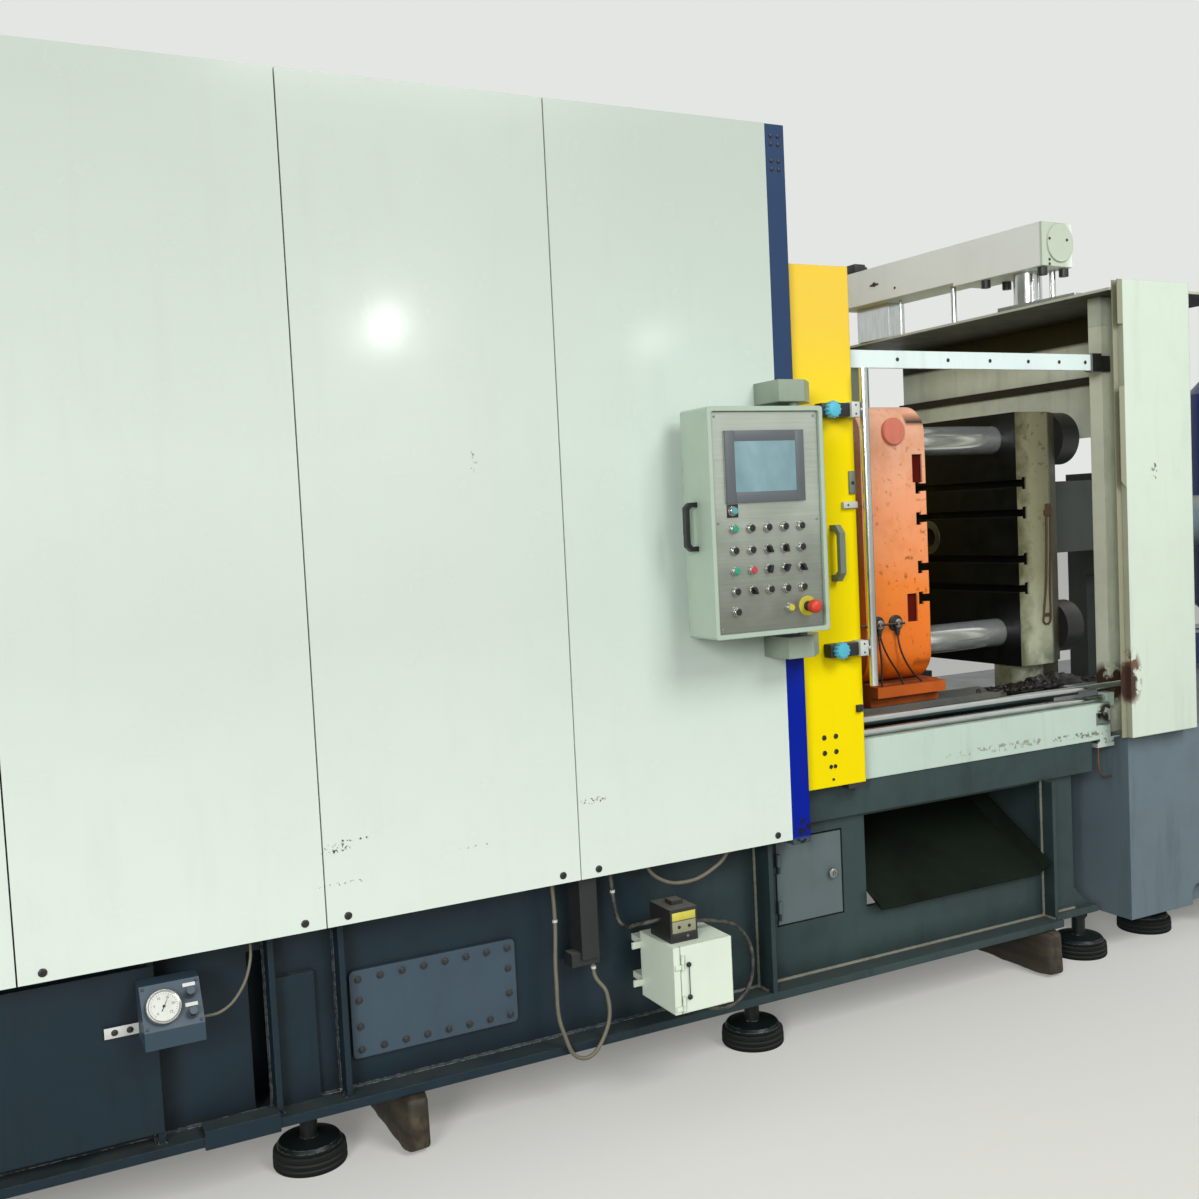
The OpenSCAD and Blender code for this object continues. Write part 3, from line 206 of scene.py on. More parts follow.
def painted(
    name,
    colour,
    rough=0.45,
    mottle=0.12,
    corner_grime_shade=0.5,
    soil_and_shade=tint(34, 30, 24),
    streaks=0.15,
    chips=0.3,
    metal=tint(72, 66, 58),
    dust=0.0,
    dust_colour=tint(150, 146, 132),
    edge=0.004,
    peel=0.05,
    coat=0.0,
    shine=0.5,
    fades=(),
    scars=(),
):
    """Paint on metal. Its corners and hollows darken by ambient occlusion, as grime together with painted
    shade; soil is the colour of that darkening and of its streaks, metal that of its chips, and scars a
    list of (centre, size, noise scale, cover, colour)."""
    made, shader, place = new_material(name)
    broad = grain(place, 1.4, 3)
    middle = grain(place, 9, 5)
    fine = grain(place, 70, 4)
    black = tint(0, 0, 0)
    tone = fading(place, colour, fades)
    tone = blend(ramp(broad, 0.35, 0.7, 0, mottle * 0.45), tone, black)
    tone = blend(ramp(middle, 0.45, 0.75, 0, mottle * 0.4), tone, black)
    runs = grain(place, 5, 5, (3.2, 3.2, 0.35))
    tone = blend(ramp(runs, 0.55, 0.8, 0, streaks), tone, soil_and_shade)
    grime_and_shade_corners = 0.0
    # Ambient occlusion darkens corners and hollows: part grime, part painted shade.
    if corner_grime_shade >= 0.3:
        grime_and_shade_corners = put(place, "AmbientOcclusion", {"Distance": 0.09}, samples=2).outputs["AO"]
        grime_and_shade_corners = times(ramp(grime_and_shade_corners, 0.85, 0.35), ramp(middle, 0.25, 0.65, 0.5, 1))
        tone = blend(times(grime_and_shade_corners, corner_grime_shade), tone, soil_and_shade)
    if dust:
        upward = split(facing_of(place))[2]
        lying = times(ramp(upward, 0.4, 0.9), ramp(middle, 0.3, 0.6, 0.4, 1))
        tone = blend(times(lying, dust), tone, dust_colour)
    rubbed, normal = fine, None
    if edge:
        normal, edges = rounded(place, edge)
        rubbed = calc("ADD", times(edges, 0.32), fine)
    worn = times(ramp(rubbed, 0.78, 0.84), chips)
    tone = blend(worn, tone, metal)
    for centre, size, scale, cover, scar_colour in scars:
        flecks = ramp(grain(place, scale, 6), 1 - cover, 1.06 - cover)
        scar = times(within(place, centre, size), flecks)
        tone = blend(scar, tone, scar_colour)
        worn = calc("MAXIMUM", worn, scar)
    dulled = times(calc("MAXIMUM", worn, grime_and_shade_corners), 0.25)
    height = calc("SUBTRACT", grain(place, 260, 2), times(worn, 2.0))
    wire(shader, {
        "Base Color": tone,
        "Roughness": calc("ADD", ramp(middle, 0.3, 0.7, rough - 0.06, rough + 0.08), dulled),
        "Normal": bump(height, peel, 0.0015, normal),
        "Specular IOR Level": shine,
        "Coat Weight": coat,
        "Coat Roughness": 0.12,
    })
    return made


def dress(material, *nodes):
    """Gives carried-over CAD nodes their finish."""
    for node in nodes:
        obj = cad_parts[node]
        if not obj.material_slots:
            obj.data.materials.append(material)
        for slot in obj.material_slots:
            slot.material = material


def new_piece(bm, name, materials, body="machine", smooth=35):
    """The bmesh as an object at the origin that moves with a body."""
    mesh = bpy.data.meshes.new(name)
    bm.to_mesh(mesh)
    bm.free()
    for material in materials if isinstance(materials, (list, tuple)) else [materials]:
        mesh.materials.append(material)
    mesh.shade_smooth()
    mesh.set_sharp_from_angle(angle=radians(smooth))
    obj = bpy.data.objects.new(name, mesh)
    scene.collection.objects.link(obj)
    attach(obj, body)
    return obj


def facing_matrix(place, facing, turn=0.0):
    """Puts +Z along facing at a place, with +Y as near to upwards as it can be."""
    quaternion = Vector(facing).to_track_quat("Z", "Y")
    return Matrix.Translation(place) @ quaternion.to_matrix().to_4x4() @ Matrix.Rotation(turn, 4, "Z")


def mark(bm, before, index):
    """Gives the faces that weren't there before a material index."""
    for face in set(bm.faces) - before:
        face.material_index = index


def round_off(bm, edges, offset, segments=2):
    bmesh.ops.bevel(bm, geom=edges, offset=offset, segments=segments, profile=0.5,
                    affect="EDGES", material=-1)


def disc(bm, place, facing, radius, depth, segments=24, chamfer=0.0, index=0, turn=0.0):
    """A round block standing on a place, or a hexagonal one with six segments."""
    faces_before = set(bm.faces)
    matrix = facing_matrix(place, facing, turn) @ Matrix.Translation((0, 0, depth / 2))
    made = bmesh.ops.create_cone(
        bm, cap_ends=True, segments=segments, radius1=radius, radius2=radius, depth=depth, matrix=matrix)
    if chamfer:
        outer = max((v.co - place).dot(facing) for v in made["verts"])
        rim = {e for v in made["verts"] for e in v.link_edges
               if all((w.co - place).dot(facing) > outer - 1e-5 for w in e.verts)}
        round_off(bm, list(rim), chamfer)
    mark(bm, faces_before, index)


def block(bm, low, high, chamfer=0.0, index=0, segments=2):
    """A box between two corners with its edges rounded."""
    faces_before = set(bm.faces)
    low, high = Vector(low), Vector(high)
    matrix = Matrix.Translation((low + high) / 2) @ Matrix.Diagonal((*(high - low), 1))
    made = bmesh.ops.create_cube(bm, size=1, matrix=matrix)
    if chamfer:
        round_off(bm, list({e for v in made["verts"] for e in v.link_edges}), chamfer, segments)
    mark(bm, faces_before, index)


def turned(bm, profile, place, facing, steps=32, index=0):
    """A lathe-turned shape from (radius, height) points in millimetres, on a place."""
    faces_before, verts_before = set(bm.faces), set(bm.verts)
    verts = [bm.verts.new((radius / 1000, 0, height / 1000)) for radius, height in profile]
    edges = [bm.edges.new(pair) for pair in zip(verts, verts[1:])]
    bmesh.ops.spin(bm, geom=verts + edges, cent=(0, 0, 0), axis=(0, 0, 1), angle=2 * pi,
                   steps=steps, use_merge=True)
    bmesh.ops.remove_doubles(bm, verts=[v for v in bm.verts if v not in verts_before], dist=1e-6)
    fresh = [v for v in bm.verts if v not in verts_before]
    bmesh.ops.transform(bm, matrix=facing_matrix(place, facing), verts=fresh)
    bmesh.ops.recalc_face_normals(bm, faces=list({f for v in fresh for f in v.link_faces}))
    mark(bm, faces_before, index)


def bolt(bm, place, facing, radius, index=0, turn=0.3):
    """A hexagon head on its washer."""
    disc(bm, place, facing, radius * 1.35, radius * 0.22, 20, radius * 0.06, index)
    head = Vector(place) + Vector(facing) * radius * 0.2
    disc(bm, head, facing, radius, radius * 0.75, 6, radius * 0.12, index, turn)


def bead(bm, start, end, out, up, size):
    """A fillet of weld along a line, in the corner between two directions."""
    corners = [bm.verts.new(start), bm.verts.new(start + out * size), bm.verts.new(start + up * size)]
    made = bmesh.ops.extrude_face_region(bm, geom=[bm.faces.new(corners)])
    moved = [v for v in made["geom"] if isinstance(v, bmesh.types.BMVert)]
    bmesh.ops.translate(bm, vec=end - start, verts=moved)
    bmesh.ops.recalc_face_normals(bm, faces=list({f for v in corners + moved for f in v.link_faces}))


# The base colour is darkened as painted shade under the overhanging guard panels, and towards the right it
# turns lighter as dust together with painted light.
shaded_base_colour = tint(22, 42, 53)
base_paint = painted(
    "base_paint", shaded_base_colour, 0.42, mottle=0.6, corner_grime_shade=0.9, soil_and_shade=tint(10, 14, 16), streaks=0.4, chips=0.45,
    metal=tint(96, 98, 90), dust=0.3, dust_colour=tint(92, 98, 92), peel=0.08, shine=0.3,
    fades=[(0, left_x + 2.2, left_x + 3.3, tint(56, 74, 74))])
dress(base_paint, "base_front", "base_rear", "base_deck", "base_cross_frame", "bed_rails")
dress(painted("cover_paint", tint(60, 80, 94), 0.4, mottle=0.5, corner_grime_shade=0.8, soil_and_shade=tint(18, 24, 28),
              streaks=0.3, chips=0.35, peel=0.08), "access_cover")
dress(painted("hatch_paint", tint(94, 108, 110), 0.42, mottle=0.3, corner_grime_shade=0.6, soil_and_shade=tint(40, 46, 46),
              streaks=0.25, peel=0.08), "base_access_door")

black_oxide = painted("black_oxide", tint(40, 40, 40), 0.38, corner_grime_shade=0.3, chips=0.35,
                      metal=tint(120, 112, 100), dust=0.35, edge=0.0015)
zinc = painted("zinc_plate", tint(150, 150, 144), 0.32, corner_grime_shade=0.4, chips=0, edge=0.001)
wire(parts_of(zinc)[0], {"Metallic": 0.85})

cover_low, cover_high = span("access_cover")
inset, columns, bolt_r = 0.024, 8, 0.0075
bm = bmesh.new()
for i in range(columns):
    x = cover_low.x + inset + (cover_high.x - cover_low.x - 2 * inset) * i / (columns - 1)
    for z in (cover_low.z + inset, cover_high.z - inset):
        bolt(bm, Vector((x, cover_low.y, z)), FRONT, bolt_r, turn=0.4 * i)
for x in (cover_low.x + inset, cover_high.x - inset):
    for part in (0.36, 0.66):
        z = cover_low.z + (cover_high.z - cover_low.z) * part
        bolt(bm, Vector((x, cover_low.y, z)), FRONT, bolt_r)
new_piece(bm, "cover_bolts", black_oxide)

hatch_low, hatch_high = span("base_access_door")
bm = bmesh.new()
lock = Vector((hatch_high.x - 0.04, at(0, -0.828, 0).y, (hatch_low.z + hatch_high.z) / 2))
turned(bm, [(0, 0), (16, 0), (16, 3), (13, 5), (8, 5), (7, 2), (0, 2)], lock, FRONT, 28)
block(bm, lock + Vector((-0.0012, -0.0045, -0.006)), lock + Vector((0.0012, -0.002, 0.006)), 0.0003)
new_piece(bm, "hatch_lock", zinc, "hatch")

flange_top, beam_foot, rib_t = 0.190, 0.690, 0.016
rib_xs = [0.280, 1.036, 1.335, 1.522, 2.890, 4.135]
web_y, rib_y = -0.820, -0.875
weld_paint = painted(
    "weld_paint", shade(shaded_base_colour, 0.8), 0.5, mottle=0.5, corner_grime_shade=0.6, chips=0.9, metal=tint(150, 152, 142),
    peel=0.5, fades=[(0, left_x + 2.4, left_x + 3.0, tint(132, 132, 116))])
bm = bmesh.new()
stops = [0.030] + rib_xs
for first, last in [*((a + rib_t, b) for a, b in zip(stops, stops[1:])), (4.151, 4.289)]:
    bead(bm, at(first, web_y, flange_top), at(last, web_y, flange_top), FRONT, UP, 0.007)
for x in rib_xs:
    for rib_x, side in ((x, LEFT), (x + rib_t, RIGHT)):
        foot = at(rib_x, web_y, flange_top)
        bead(bm, foot, at(rib_x, web_y, beam_foot), side, FRONT, 0.006)
        bead(bm, at(rib_x, rib_y, flange_top), foot, UP, side, 0.006)
new_piece(bm, "weld_beads", weld_paint, "machine")

channel_t = 0.008
channel_low, channel_high = at(1.250, -0.8005, 0.172), at(1.420, -0.700, 0.660)
bm = bmesh.new()
for axis, from_high in ((0, False), (0, True), (1, True), (2, False)):
    low, high = channel_low.copy(), channel_high.copy()
    if from_high:
        low[axis] = high[axis] - channel_t
    else:
        high[axis] = low[axis] + channel_t
    block(bm, low, high)
new_piece(bm, "slot_channel", base_paint, "machine")

# Levelling mounts. A ribbed black rubber pad in a pressed steel cup carries a zinc screw with its hexagon
# lock nut, twelve of them under the two bases. Cup, screw and nut are painted near black as painted shade
# under the machine, with bright chips at their edges.
rubber = painted("pad_rubber", tint(18, 24, 24), 0.75, corner_grime_shade=0.3, chips=0, dust=0.1, edge=0.002, shine=0.2)
shaded_foot_steel = painted("shaded_foot_steel", tint(20, 30, 30), 0.35, mottle=0.5, chips=0.6, metal=tint(170, 172, 164),
                     edge=0.003, shine=0.25)
base_mounts = [(x, 0.780, 0.165) for x in (0.170, 1.434, 2.882, 4.349)]
shot_mounts = [(x, 0.720, 0.115) for x in (4.770, 6.860)]
pad = [(0, 0), (98, 0), (100, 4), (100, 12), (94, 16), (100, 20), (100, 28), (94, 32), (99, 36),
       (98, 45), (0, 45)]
cup = [(0, 46), (86, 46), (88, 50), (88, 58), (82, 66), (50, 71), (0, 71)]
bm = bmesh.new()
for side in (-1, 1):
    for x, y, top in base_mounts + shot_mounts:
        foot = at(x, side * y, 0)
        turned(bm, pad, foot, UP, 48, index=0)
        turned(bm, cup, foot, UP, 48, index=1)
        disc(bm, foot + UP * 0.07, UP, 0.024, top - 0.071, index=1)
        disc(bm, foot + UP * (top - 0.028), UP, 0.034, 0.0275, 6, chamfer=0.003, index=1)
mount_piece = new_piece(bm, "levelling_pads", [rubber, shaded_foot_steel])
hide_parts("levelling_mounts")

# Timber bearers. Old oil-soaked squared beams under the side flanges, with their
# ends worn round and their grain opened by cracks.


def timber(name, light, dark):
    made, shader, place = new_material(name)
    lines = grain(place, 26, 6, (1.0, 0.09, 1.0))
    rings = put(place, "TexWave", {"Vector": place, "Scale": 9.0, "Distortion": 6.0, "Detail": 3.0},
                wave_type="RINGS", rings_direction="Y").outputs["Fac"]
    oil = grain(place, 4, 4)
    tone = blend(ramp(lines, 0.35, 0.7), dark, light)
    tone = blend(ramp(rings, 0.5, 1.0, 0, 0.35), tone, shade(dark, 0.5))
    tone = blend(ramp(oil, 0.4, 0.65, 0, 0.75), tone, shade(dark, 0.35))
    cracks = calc("ADD", lines, times(rings, 0.3))
    wire(shader, {"Base Color": tone, "Roughness": ramp(oil, 0.4, 0.65, 0.85, 0.5),
                  "Normal": bump(cracks, 0.7, 0.004)})
    return made


def join(bm, part):
    """Moves another bmesh's faces into this one."""
    mesh = bpy.data.meshes.new("part")
    part.to_mesh(mesh)
    part.free()
    bm.from_mesh(mesh)
    bpy.data.meshes.remove(mesh)


bearer_low, bearer_high = span("timber_bearers")
bearer_w, bearer_l, worn_l = 0.088, 0.420, 0.05
bm = bmesh.new()
for near in (bearer_low.y, bearer_high.y - bearer_l):
    for x in (bearer_low.x, bearer_high.x - bearer_w):
        part = bmesh.new()
        low = Vector((x + 0.002, near + 0.003, 0.001))
        high = Vector((x + bearer_w - 0.002, near + bearer_l - 0.003, bearer_high.z - 0.001))
        block(part, low, high, 0.016, segments=3)
        long_edges = [e for e in part.edges if abs((e.verts[0].co - e.verts[1].co).normalized().y) > 0.9]
        bmesh.ops.subdivide_edges(part, edges=long_edges, cuts=24)
        for v in part.verts:
            gap = min(v.co.y - low.y, high.y - v.co.y)
            worn = max(0.0, 1 - gap / worn_l) * 0.016
            wobble = field.noise(v.co * 22) * 0.0035 - 0.004 - worn * (0.6 + 0.4 * field.noise(v.co * 9))
            away = v.co - Vector(((low.x + high.x) / 2, v.co.y, (low.z + high.z) / 2))
            away.z *= 0.5 if v.co.z < 0.12 else 0.12
            v.co += away.normalized() * wobble
        join(bm, part)
bearers = new_piece(bm, "worn_bearers", timber("oily_timber", tint(84, 74, 54), tint(38, 32, 24)),
                    "machine", smooth=50)
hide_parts("timber_bearers")

# Discharge tray and wear plates. The tray is blackened sheet that castings slide
# down, and the plates are ground steel under dried grease and die spray.


def bare_steel(name, colour, rough, smear, smear_colour, metallic=0.9, stretch=(1, 1, 1)):
    """Worn metal, with a smear of dirt that takes its shine where it lies."""
    made, shader, place = new_material(name)
    broad = grain(place, 3, 5, stretch)
    fine = grain(place, 60, 4, stretch)
    dirty = times(ramp(broad, 0.45, 0.7), smear)
    normal, edges = rounded(place, 0.003)
    tone = blend(ramp(fine, 0.3, 0.7, 0, 0.35), colour, shade(colour, 0.55))
    tone = blend(dirty, tone, smear_colour)
    tone = blend(times(edges, 0.4), tone, shade(colour, 1.25))
    wire(shader, {"Base Color": tone, "Metallic": ramp(dirty, 0, 0.6, metallic, 0.15),
                  "Roughness": calc("ADD", times(dirty, 0.4), rough),
                  "Normal": bump(fine, 0.25, 0.001, normal)})
    return made


tray_steel = bare_steel("tray_steel", tint(20, 30, 20), 0.65, 0.8, tint(8, 12, 6), 0.1)
wire(parts_of(tray_steel)[0], {"Specular IOR Level": 0.15})
dress(tray_steel, "discharge_tray")
dress(bare_steel("wear_steel", tint(128, 130, 124), 0.42, 0.75, tint(92, 84, 68), 0.6), "wear_plates")
dress(black_oxide, "tie_bar_nuts", "door_carriages")

# Platens. The moving platen and its shoes are orange over a rough cast skin, and both platens turn black on
# the die face and in its slots, as soot together with painted shade; the fixed one is oil-stained cream.
platen_half = 0.510
soot_and_shade_black = tint(8, 10, 8)


def cast_paint(name, colour, high, low, die_x, side, stain=0.0, fades=()):
    """Platen paint with a top and a foot colour that stand for painted light and shade, turning black on
    the die pad and in its slots as soot together with painted shade. side is 1 where the die face looks
    right, and -1 where it looks left."""
    made, shader, place = new_material(name)
    x, y, z = split(place)
    broad = grain(place, 2.2, 5)
    middle = grain(place, 14, 6)
    fine = grain(place, 90, 4)
    rise = calc("ADD", z, times(calc("SUBTRACT", broad, 0.5), 0.5))
    # The top and foot colours are painted light and shade: the moving platen paler at its top, the fixed
    # one darker at its top and lighter at its foot.
    tone = blend(ramp(rise, 1.45, 1.95), colour, high)
    tone = fading(place, blend(ramp(rise, 1.40, 1.10), tone, low), fades)
    tone = blend(ramp(middle, 0.45, 0.7, 0, 0.3), tone, shade(colour, 0.75))
    pits = times(ramp(grain(place, 42, 6), 0.60, 0.66, 0, 0.8), ramp(broad, 0.42, 0.6))
    tone = blend(pits, tone, shade(colour, 0.35))
    tone = blend(ramp(grain(place, 4, 5, (4, 4, 0.3)), 0.55, 0.8, 0, 0.35), tone, shade(colour, 0.35))
    tone = blend(times(ramp(rise, 1.12, 1.0, 0, 0.7), ramp(middle, 0.35, 0.6)), tone, soot_and_shade_black)
    depth = times(calc("SUBTRACT", x, die_x), -side)
    ragged = calc("ADD", depth, times(calc("SUBTRACT", middle, 0.5), 0.16))
    tone = blend(times(ramp(ragged, 0.07, 0.0), stain), tone, tint(74, 70, 40))
    # The die pad and its slots turn black: soot together with painted shade.
    on_face = ramp(times(split(facing_of(place))[0], side), 0.5, 0.9)
    inward = ramp(calc("ABSOLUTE", calc("SUBTRACT", y, centre_y)), platen_half - 0.004, platen_half - 0.010)
    heights = times(ramp(z, 1.10, 1.14), ramp(z, 2.05, 2.01))
    slot_soot_and_shade = times(ramp(depth, 0.085, 0.075), times(inward, heights))
    die_soot_and_shade = calc("MAXIMUM", times(ramp(depth, 0.012, 0.004), on_face), slot_soot_and_shade)
    tone = blend(die_soot_and_shade, tone, soot_and_shade_black)
    normal, edges = rounded(place, 0.005)
    worn = ramp(calc("ADD", times(edges, 0.3), fine), 0.76, 0.84, 0, 0.6)
    tone = blend(times(worn, calc("SUBTRACT", 1.0, die_soot_and_shade)), tone, tint(80, 66, 52))
    height = calc("ADD", times(middle, 0.8), times(fine, 0.3))
    wire(shader, {"Base Color": tone, "Roughness": ramp(middle, 0.3, 0.7, 0.34, 0.58),
                  "Specular IOR Level": 0.3, "Normal": bump(height, 0.35, 0.003, normal)})
    return made


moving_face = span("moving_platen")[1].x
fixed_face = span("fixed_platen")[0].x
dress(cast_paint("platen_orange", tint(255, 142, 58), tint(255, 194, 160), tint(238, 110, 14),
                 moving_face, 1.0), "moving_platen")
shoe_orange = painted("shoe_orange", tint(206, 100, 34), mottle=0.5, corner_grime_shade=0.9, streaks=0.4, chips=0.5,
                      metal=tint(60, 50, 40), peel=0.2, shine=0.3)
# The fixed platen's back part, past 4.552 m, is painted darker as painted shade.
dress(cast_paint("platen_cream", tint(164, 164, 132), tint(150, 146, 114), tint(216, 222, 190),
                 fixed_face, -1.0, stain=0.85,
                 fades=[(0, left_x + 4.552, left_x + 4.562, tint(92, 88, 64))]), "fixed_platen")
dress(shoe_orange, "platen_shoes")

plug_pink = painted("plug_pink", tint(250, 144, 120), 0.4, mottle=0.35, corner_grime_shade=0.4, chips=0.4, edge=0.002)
gland_black = painted("gland_black", tint(26, 26, 26), corner_grime_shade=0.3, chips=0.2, dust=0.4, edge=0.002)
lead_black = painted("lead_black", tint(24, 24, 24), 0.5, corner_grime_shade=0.2, chips=0.1, edge=0)
plug_y, gland_z = -platen_half, 1.277
bm = bmesh.new()
turned(bm, [(0, 0), (50, 0), (50, 10), (47, 13.8), (0, 14)], at(3.769, plug_y, 1.977), FRONT, 48)
for x in (3.667, 3.751):
    gland = at(x, plug_y, gland_z)
    turned(bm, [(0, 0), (30, 0), (30, 8), (26, 10), (0, 10)], gland, FRONT, index=1)
    disc(bm, gland + FRONT * 0.010, FRONT, 0.021, 0.010, 6, chamfer=0.0015, index=1, turn=0.3)
    turned(bm, [(0, 0), (16.5, 0), (16.5, 4), (12, 5.8), (0, 6)], gland + FRONT * 0.020, FRONT, 24, index=2)
    turned(bm, [(9, 12), (9, 34), (7.5, 36), (7.5, 44), (5, 46), (0, 46)],
           gland + FRONT * 0.013, DOWN, 20, index=1)
    disc(bm, gland + FRONT * 0.030 + LEFT * 0.016, RIGHT, 0.0078, 0.009, 6, chamfer=0.0008, index=2)
disc(bm, at(3.5675, -0.540, gland_z), RIGHT, 0.0042, 0.2030, 12, index=1)
fittings = new_piece(bm, "platen_plug_and_glands", [plug_pink, gland_black, zinc], "platen")
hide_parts("platen_fittings")

# Dark red blocks in the platen's pockets stand for the shade in those recesses: painted shade.
pocket_shade_red = painted("pocket_shade_red", tint(96, 14, 6), 0.6, mottle=0.4, corner_grime_shade=0.6, chips=0, edge=0, shine=0.1)
bm = bmesh.new()
for x, z in ((3.857, 1.789), (3.814, 1.276)):
    block(bm, at(x + 0.0005, 0.011 - platen_half, z + 0.0005),
          at(x + 0.0455, 0.0195 - platen_half, z + 0.1025))
new_piece(bm, "pocket_shade_linings", pocket_shade_red, "platen")

along_x, along_z = (0.2, 1, 1), (1, 1, 0.2)
dress(bare_steel("tie_bar_chrome", tint(250, 255, 253), 0.14, 0.1, tint(96, 94, 80), 0.85, along_x),
      "tie_bars")
dress(bare_steel("hard_chrome", tint(212, 216, 214), 0.1, 0.25, tint(70, 66, 56), 1.0, along_x),
      "door_rods")

# Grease forks and scraps. Two thin rusty rods with a clip hang on the fixed platen's
# side, and oily black crumbs of flash lie in a heap at its foot on the bed.


def smooth_tube(name, points, radius, material, body, resolution=6):
    """A round tube or cable along given points."""
    data = bpy.data.curves.new(name, "CURVE")
    data.dimensions = "3D"
    data.resolution_u = resolution
    data.bevel_depth = radius
    data.bevel_resolution = 3
    data.use_fill_caps = True
    spline = data.splines.new("BEZIER")
    spline.bezier_points.add(len(points) - 1)
    for target, point in zip(spline.bezier_points, points):
        target.co = at(*point)
        target.handle_left_type = target.handle_right_type = "AUTO"
    data.materials.append(material)
    obj = bpy.data.objects.new(name, data)
    scene.collection.objects.link(obj)
    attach(obj, body)
    return obj


lead_routes = {
    "left": [(3.664, -0.523, 1.2301), (3.664, -0.528, 1.190), (3.667, -0.530, 1.120),
             (3.665, -0.530, 1.080), (3.665, -0.530, 1.051)],
    "middle": [(3.671, -0.523, 1.2296), (3.680, -0.528, 1.195), (3.704, -0.530, 1.148),
               (3.749, -0.530, 1.083), (3.762, -0.530, 1.052)],
    "right": [(3.751, -0.523, 1.2300), (3.754, -0.528, 1.195), (3.770, -0.530, 1.150),
              (3.816, -0.530, 1.084), (3.850, -0.530, 1.0535)],
}
leads = [smooth_tube(f"lead_{side}", route, 0.0034, lead_black, "platen")
         for side, route in lead_routes.items()]
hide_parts("platen_cables")

rust = painted("rusty_rod", tint(96, 74, 50), 0.7, mottle=0.6, edge=0.001)
fork_x, fork_y = 4.518, -platen_half - 0.0066
seat = 0.0002
for i, offset in enumerate((-0.011, 0.011)):
    bends = ((offset + 0.010, 1.676), (offset + 0.006, 1.52), (offset - 0.003, 1.36),
             (offset * 1.6 - 0.010, 1.250), (offset * 1.5 - 0.013, 1.222), (offset * 0.4 - 0.014, 1.212))
    smooth_tube(f"grease_fork_{i + 1}", [(fork_x + x, fork_y, z) for x, z in bends], 0.0044, rust,
                "machine")
bm = bmesh.new()
for left, right, out, foot, top, chamfer in (
    (-0.010, 0.026, 0.0125, 1.638, 1.662, 0.003),
    (-0.004, 0.020, 0.0140, 1.660, 1.686, 0.005),
    (-0.026, 0.004, 0.0125, 1.243, 1.256, 0.003),
):
    block(bm, at(fork_x + left, -platen_half - out, foot),
          at(fork_x + right, -platen_half - seat, top), chamfer)
new_piece(bm, "grease_fork_clips", rust, "machine")

oily_crumb = bare_steel("oily_crumbs", tint(30, 27, 22), 0.35, 0.5, tint(16, 14, 10), 0.1)
crumbs = 460
scrap_area = at(4.372, -0.470, 0.972)
heap_centre = at(4.480, -0.545, 0.966)
bm = bmesh.new()
heap_matrix = Matrix.Translation(heap_centre) @ Matrix.Diagonal((0.150, 0.034, 0.052, 1))
bmesh.ops.create_icosphere(bm, subdivisions=5, radius=1, matrix=heap_matrix)
for v in bm.verts:
    away = v.co - heap_centre
    v.co = heap_centre + away * (1 + 0.35 * field.noise(v.co * 26) + 0.18 * field.noise(v.co * 80))
    v.co.z = max(v.co.z, scrap_area.z + 0.0005)
for i in range(crumbs):
    spot = Vector((field.noise((i * 1.7, 0.3, 5.1)), field.noise((2.2, i * 1.9, 7.7)), 0))
    size = 0.005 + 0.014 * abs(field.noise((i * 0.77, 4.4, 1.3)))
    heap = max(0.0, 1 - spot.length / 0.45)
    lift = heap * 0.045 * abs(field.noise((i * 2.3, 1.1, 9.2)))
    centre = scrap_area + Vector((0.10 + spot.x * 0.42, -0.015 + spot.y * 0.12, size * 0.3 + lift))
    flat = Matrix.Rotation(i * 1.3, 4, "Z") @ Matrix.Diagonal((size * 1.6, size, size * 0.6, 1))
    bmesh.ops.create_icosphere(bm, subdivisions=1, radius=1.0, matrix=Matrix.Translation(centre) @ flat)
for v in bm.verts:
    place = v.co * 90
    v.co += Vector((field.noise(place), field.noise(place + UP), field.noise(place + RIGHT))) * 0.003
new_piece(bm, "bed_crumbs", oily_crumb, smooth=60)

# Shot end. Blue-grey welded base and frame, a shot cylinder with bolted flanges, dark
# blue gas bottles, and the ground sleeve and plunger rod.
dress(painted("shot_paint", tint(108, 126, 134), mottle=0.25, corner_grime_shade=0.7, streaks=0.35, chips=0.4,
              metal=tint(74, 70, 62), dust=0.5), "shot_base", "end_platen", "shot_cylinder")
dress(painted("shot_frame_dark", tint(50, 58, 54), 0.5, mottle=0.3, corner_grime_shade=0.7, streaks=0.3, chips=0.4,
              metal=tint(100, 98, 88), dust=0.5), "shot_frame")
dress(painted("bottle_paint", tint(40, 58, 112), 0.35, streaks=0.2, chips=0.25, dust=0.4), "accumulators")
dress(bare_steel("sleeve_steel", tint(150, 150, 146), 0.28, 0.6, tint(60, 48, 36)),
      "shot_sleeve", "plunger_rod")

cylinder_low, cylinder_high = span("shot_cylinder")
frame_end = span("shot_frame")[1].x
shot_axis, bolt_ring, bolts = at(0, 0, 1.565), 0.132, 12
bm = bmesh.new()
for x in (cylinder_high.x, cylinder_low.x + 0.070):
    for i in range(bolts):
        angle = 2 * pi * (i + 0.5) / bolts
        spot = Vector((x, shot_axis.y + bolt_ring * cos(angle), shot_axis.z + bolt_ring * sin(angle)))
        bolt(bm, spot, RIGHT, 0.0085, turn=angle)
for side in (-1, 1):
    for z in (1.38, 1.52, 1.66, 1.78):
        bolt(bm, Vector((frame_end, shot_axis.y + side * 0.262, z)), RIGHT, 0.014)
new_piece(bm, "shot_end_bolts", black_oxide)

# Guard panels. Folded steel sheets in a glossy pale green-white powder coat, slightly
# wavy, each held by screws near its lower corners, scuffed and chipped at the seams.


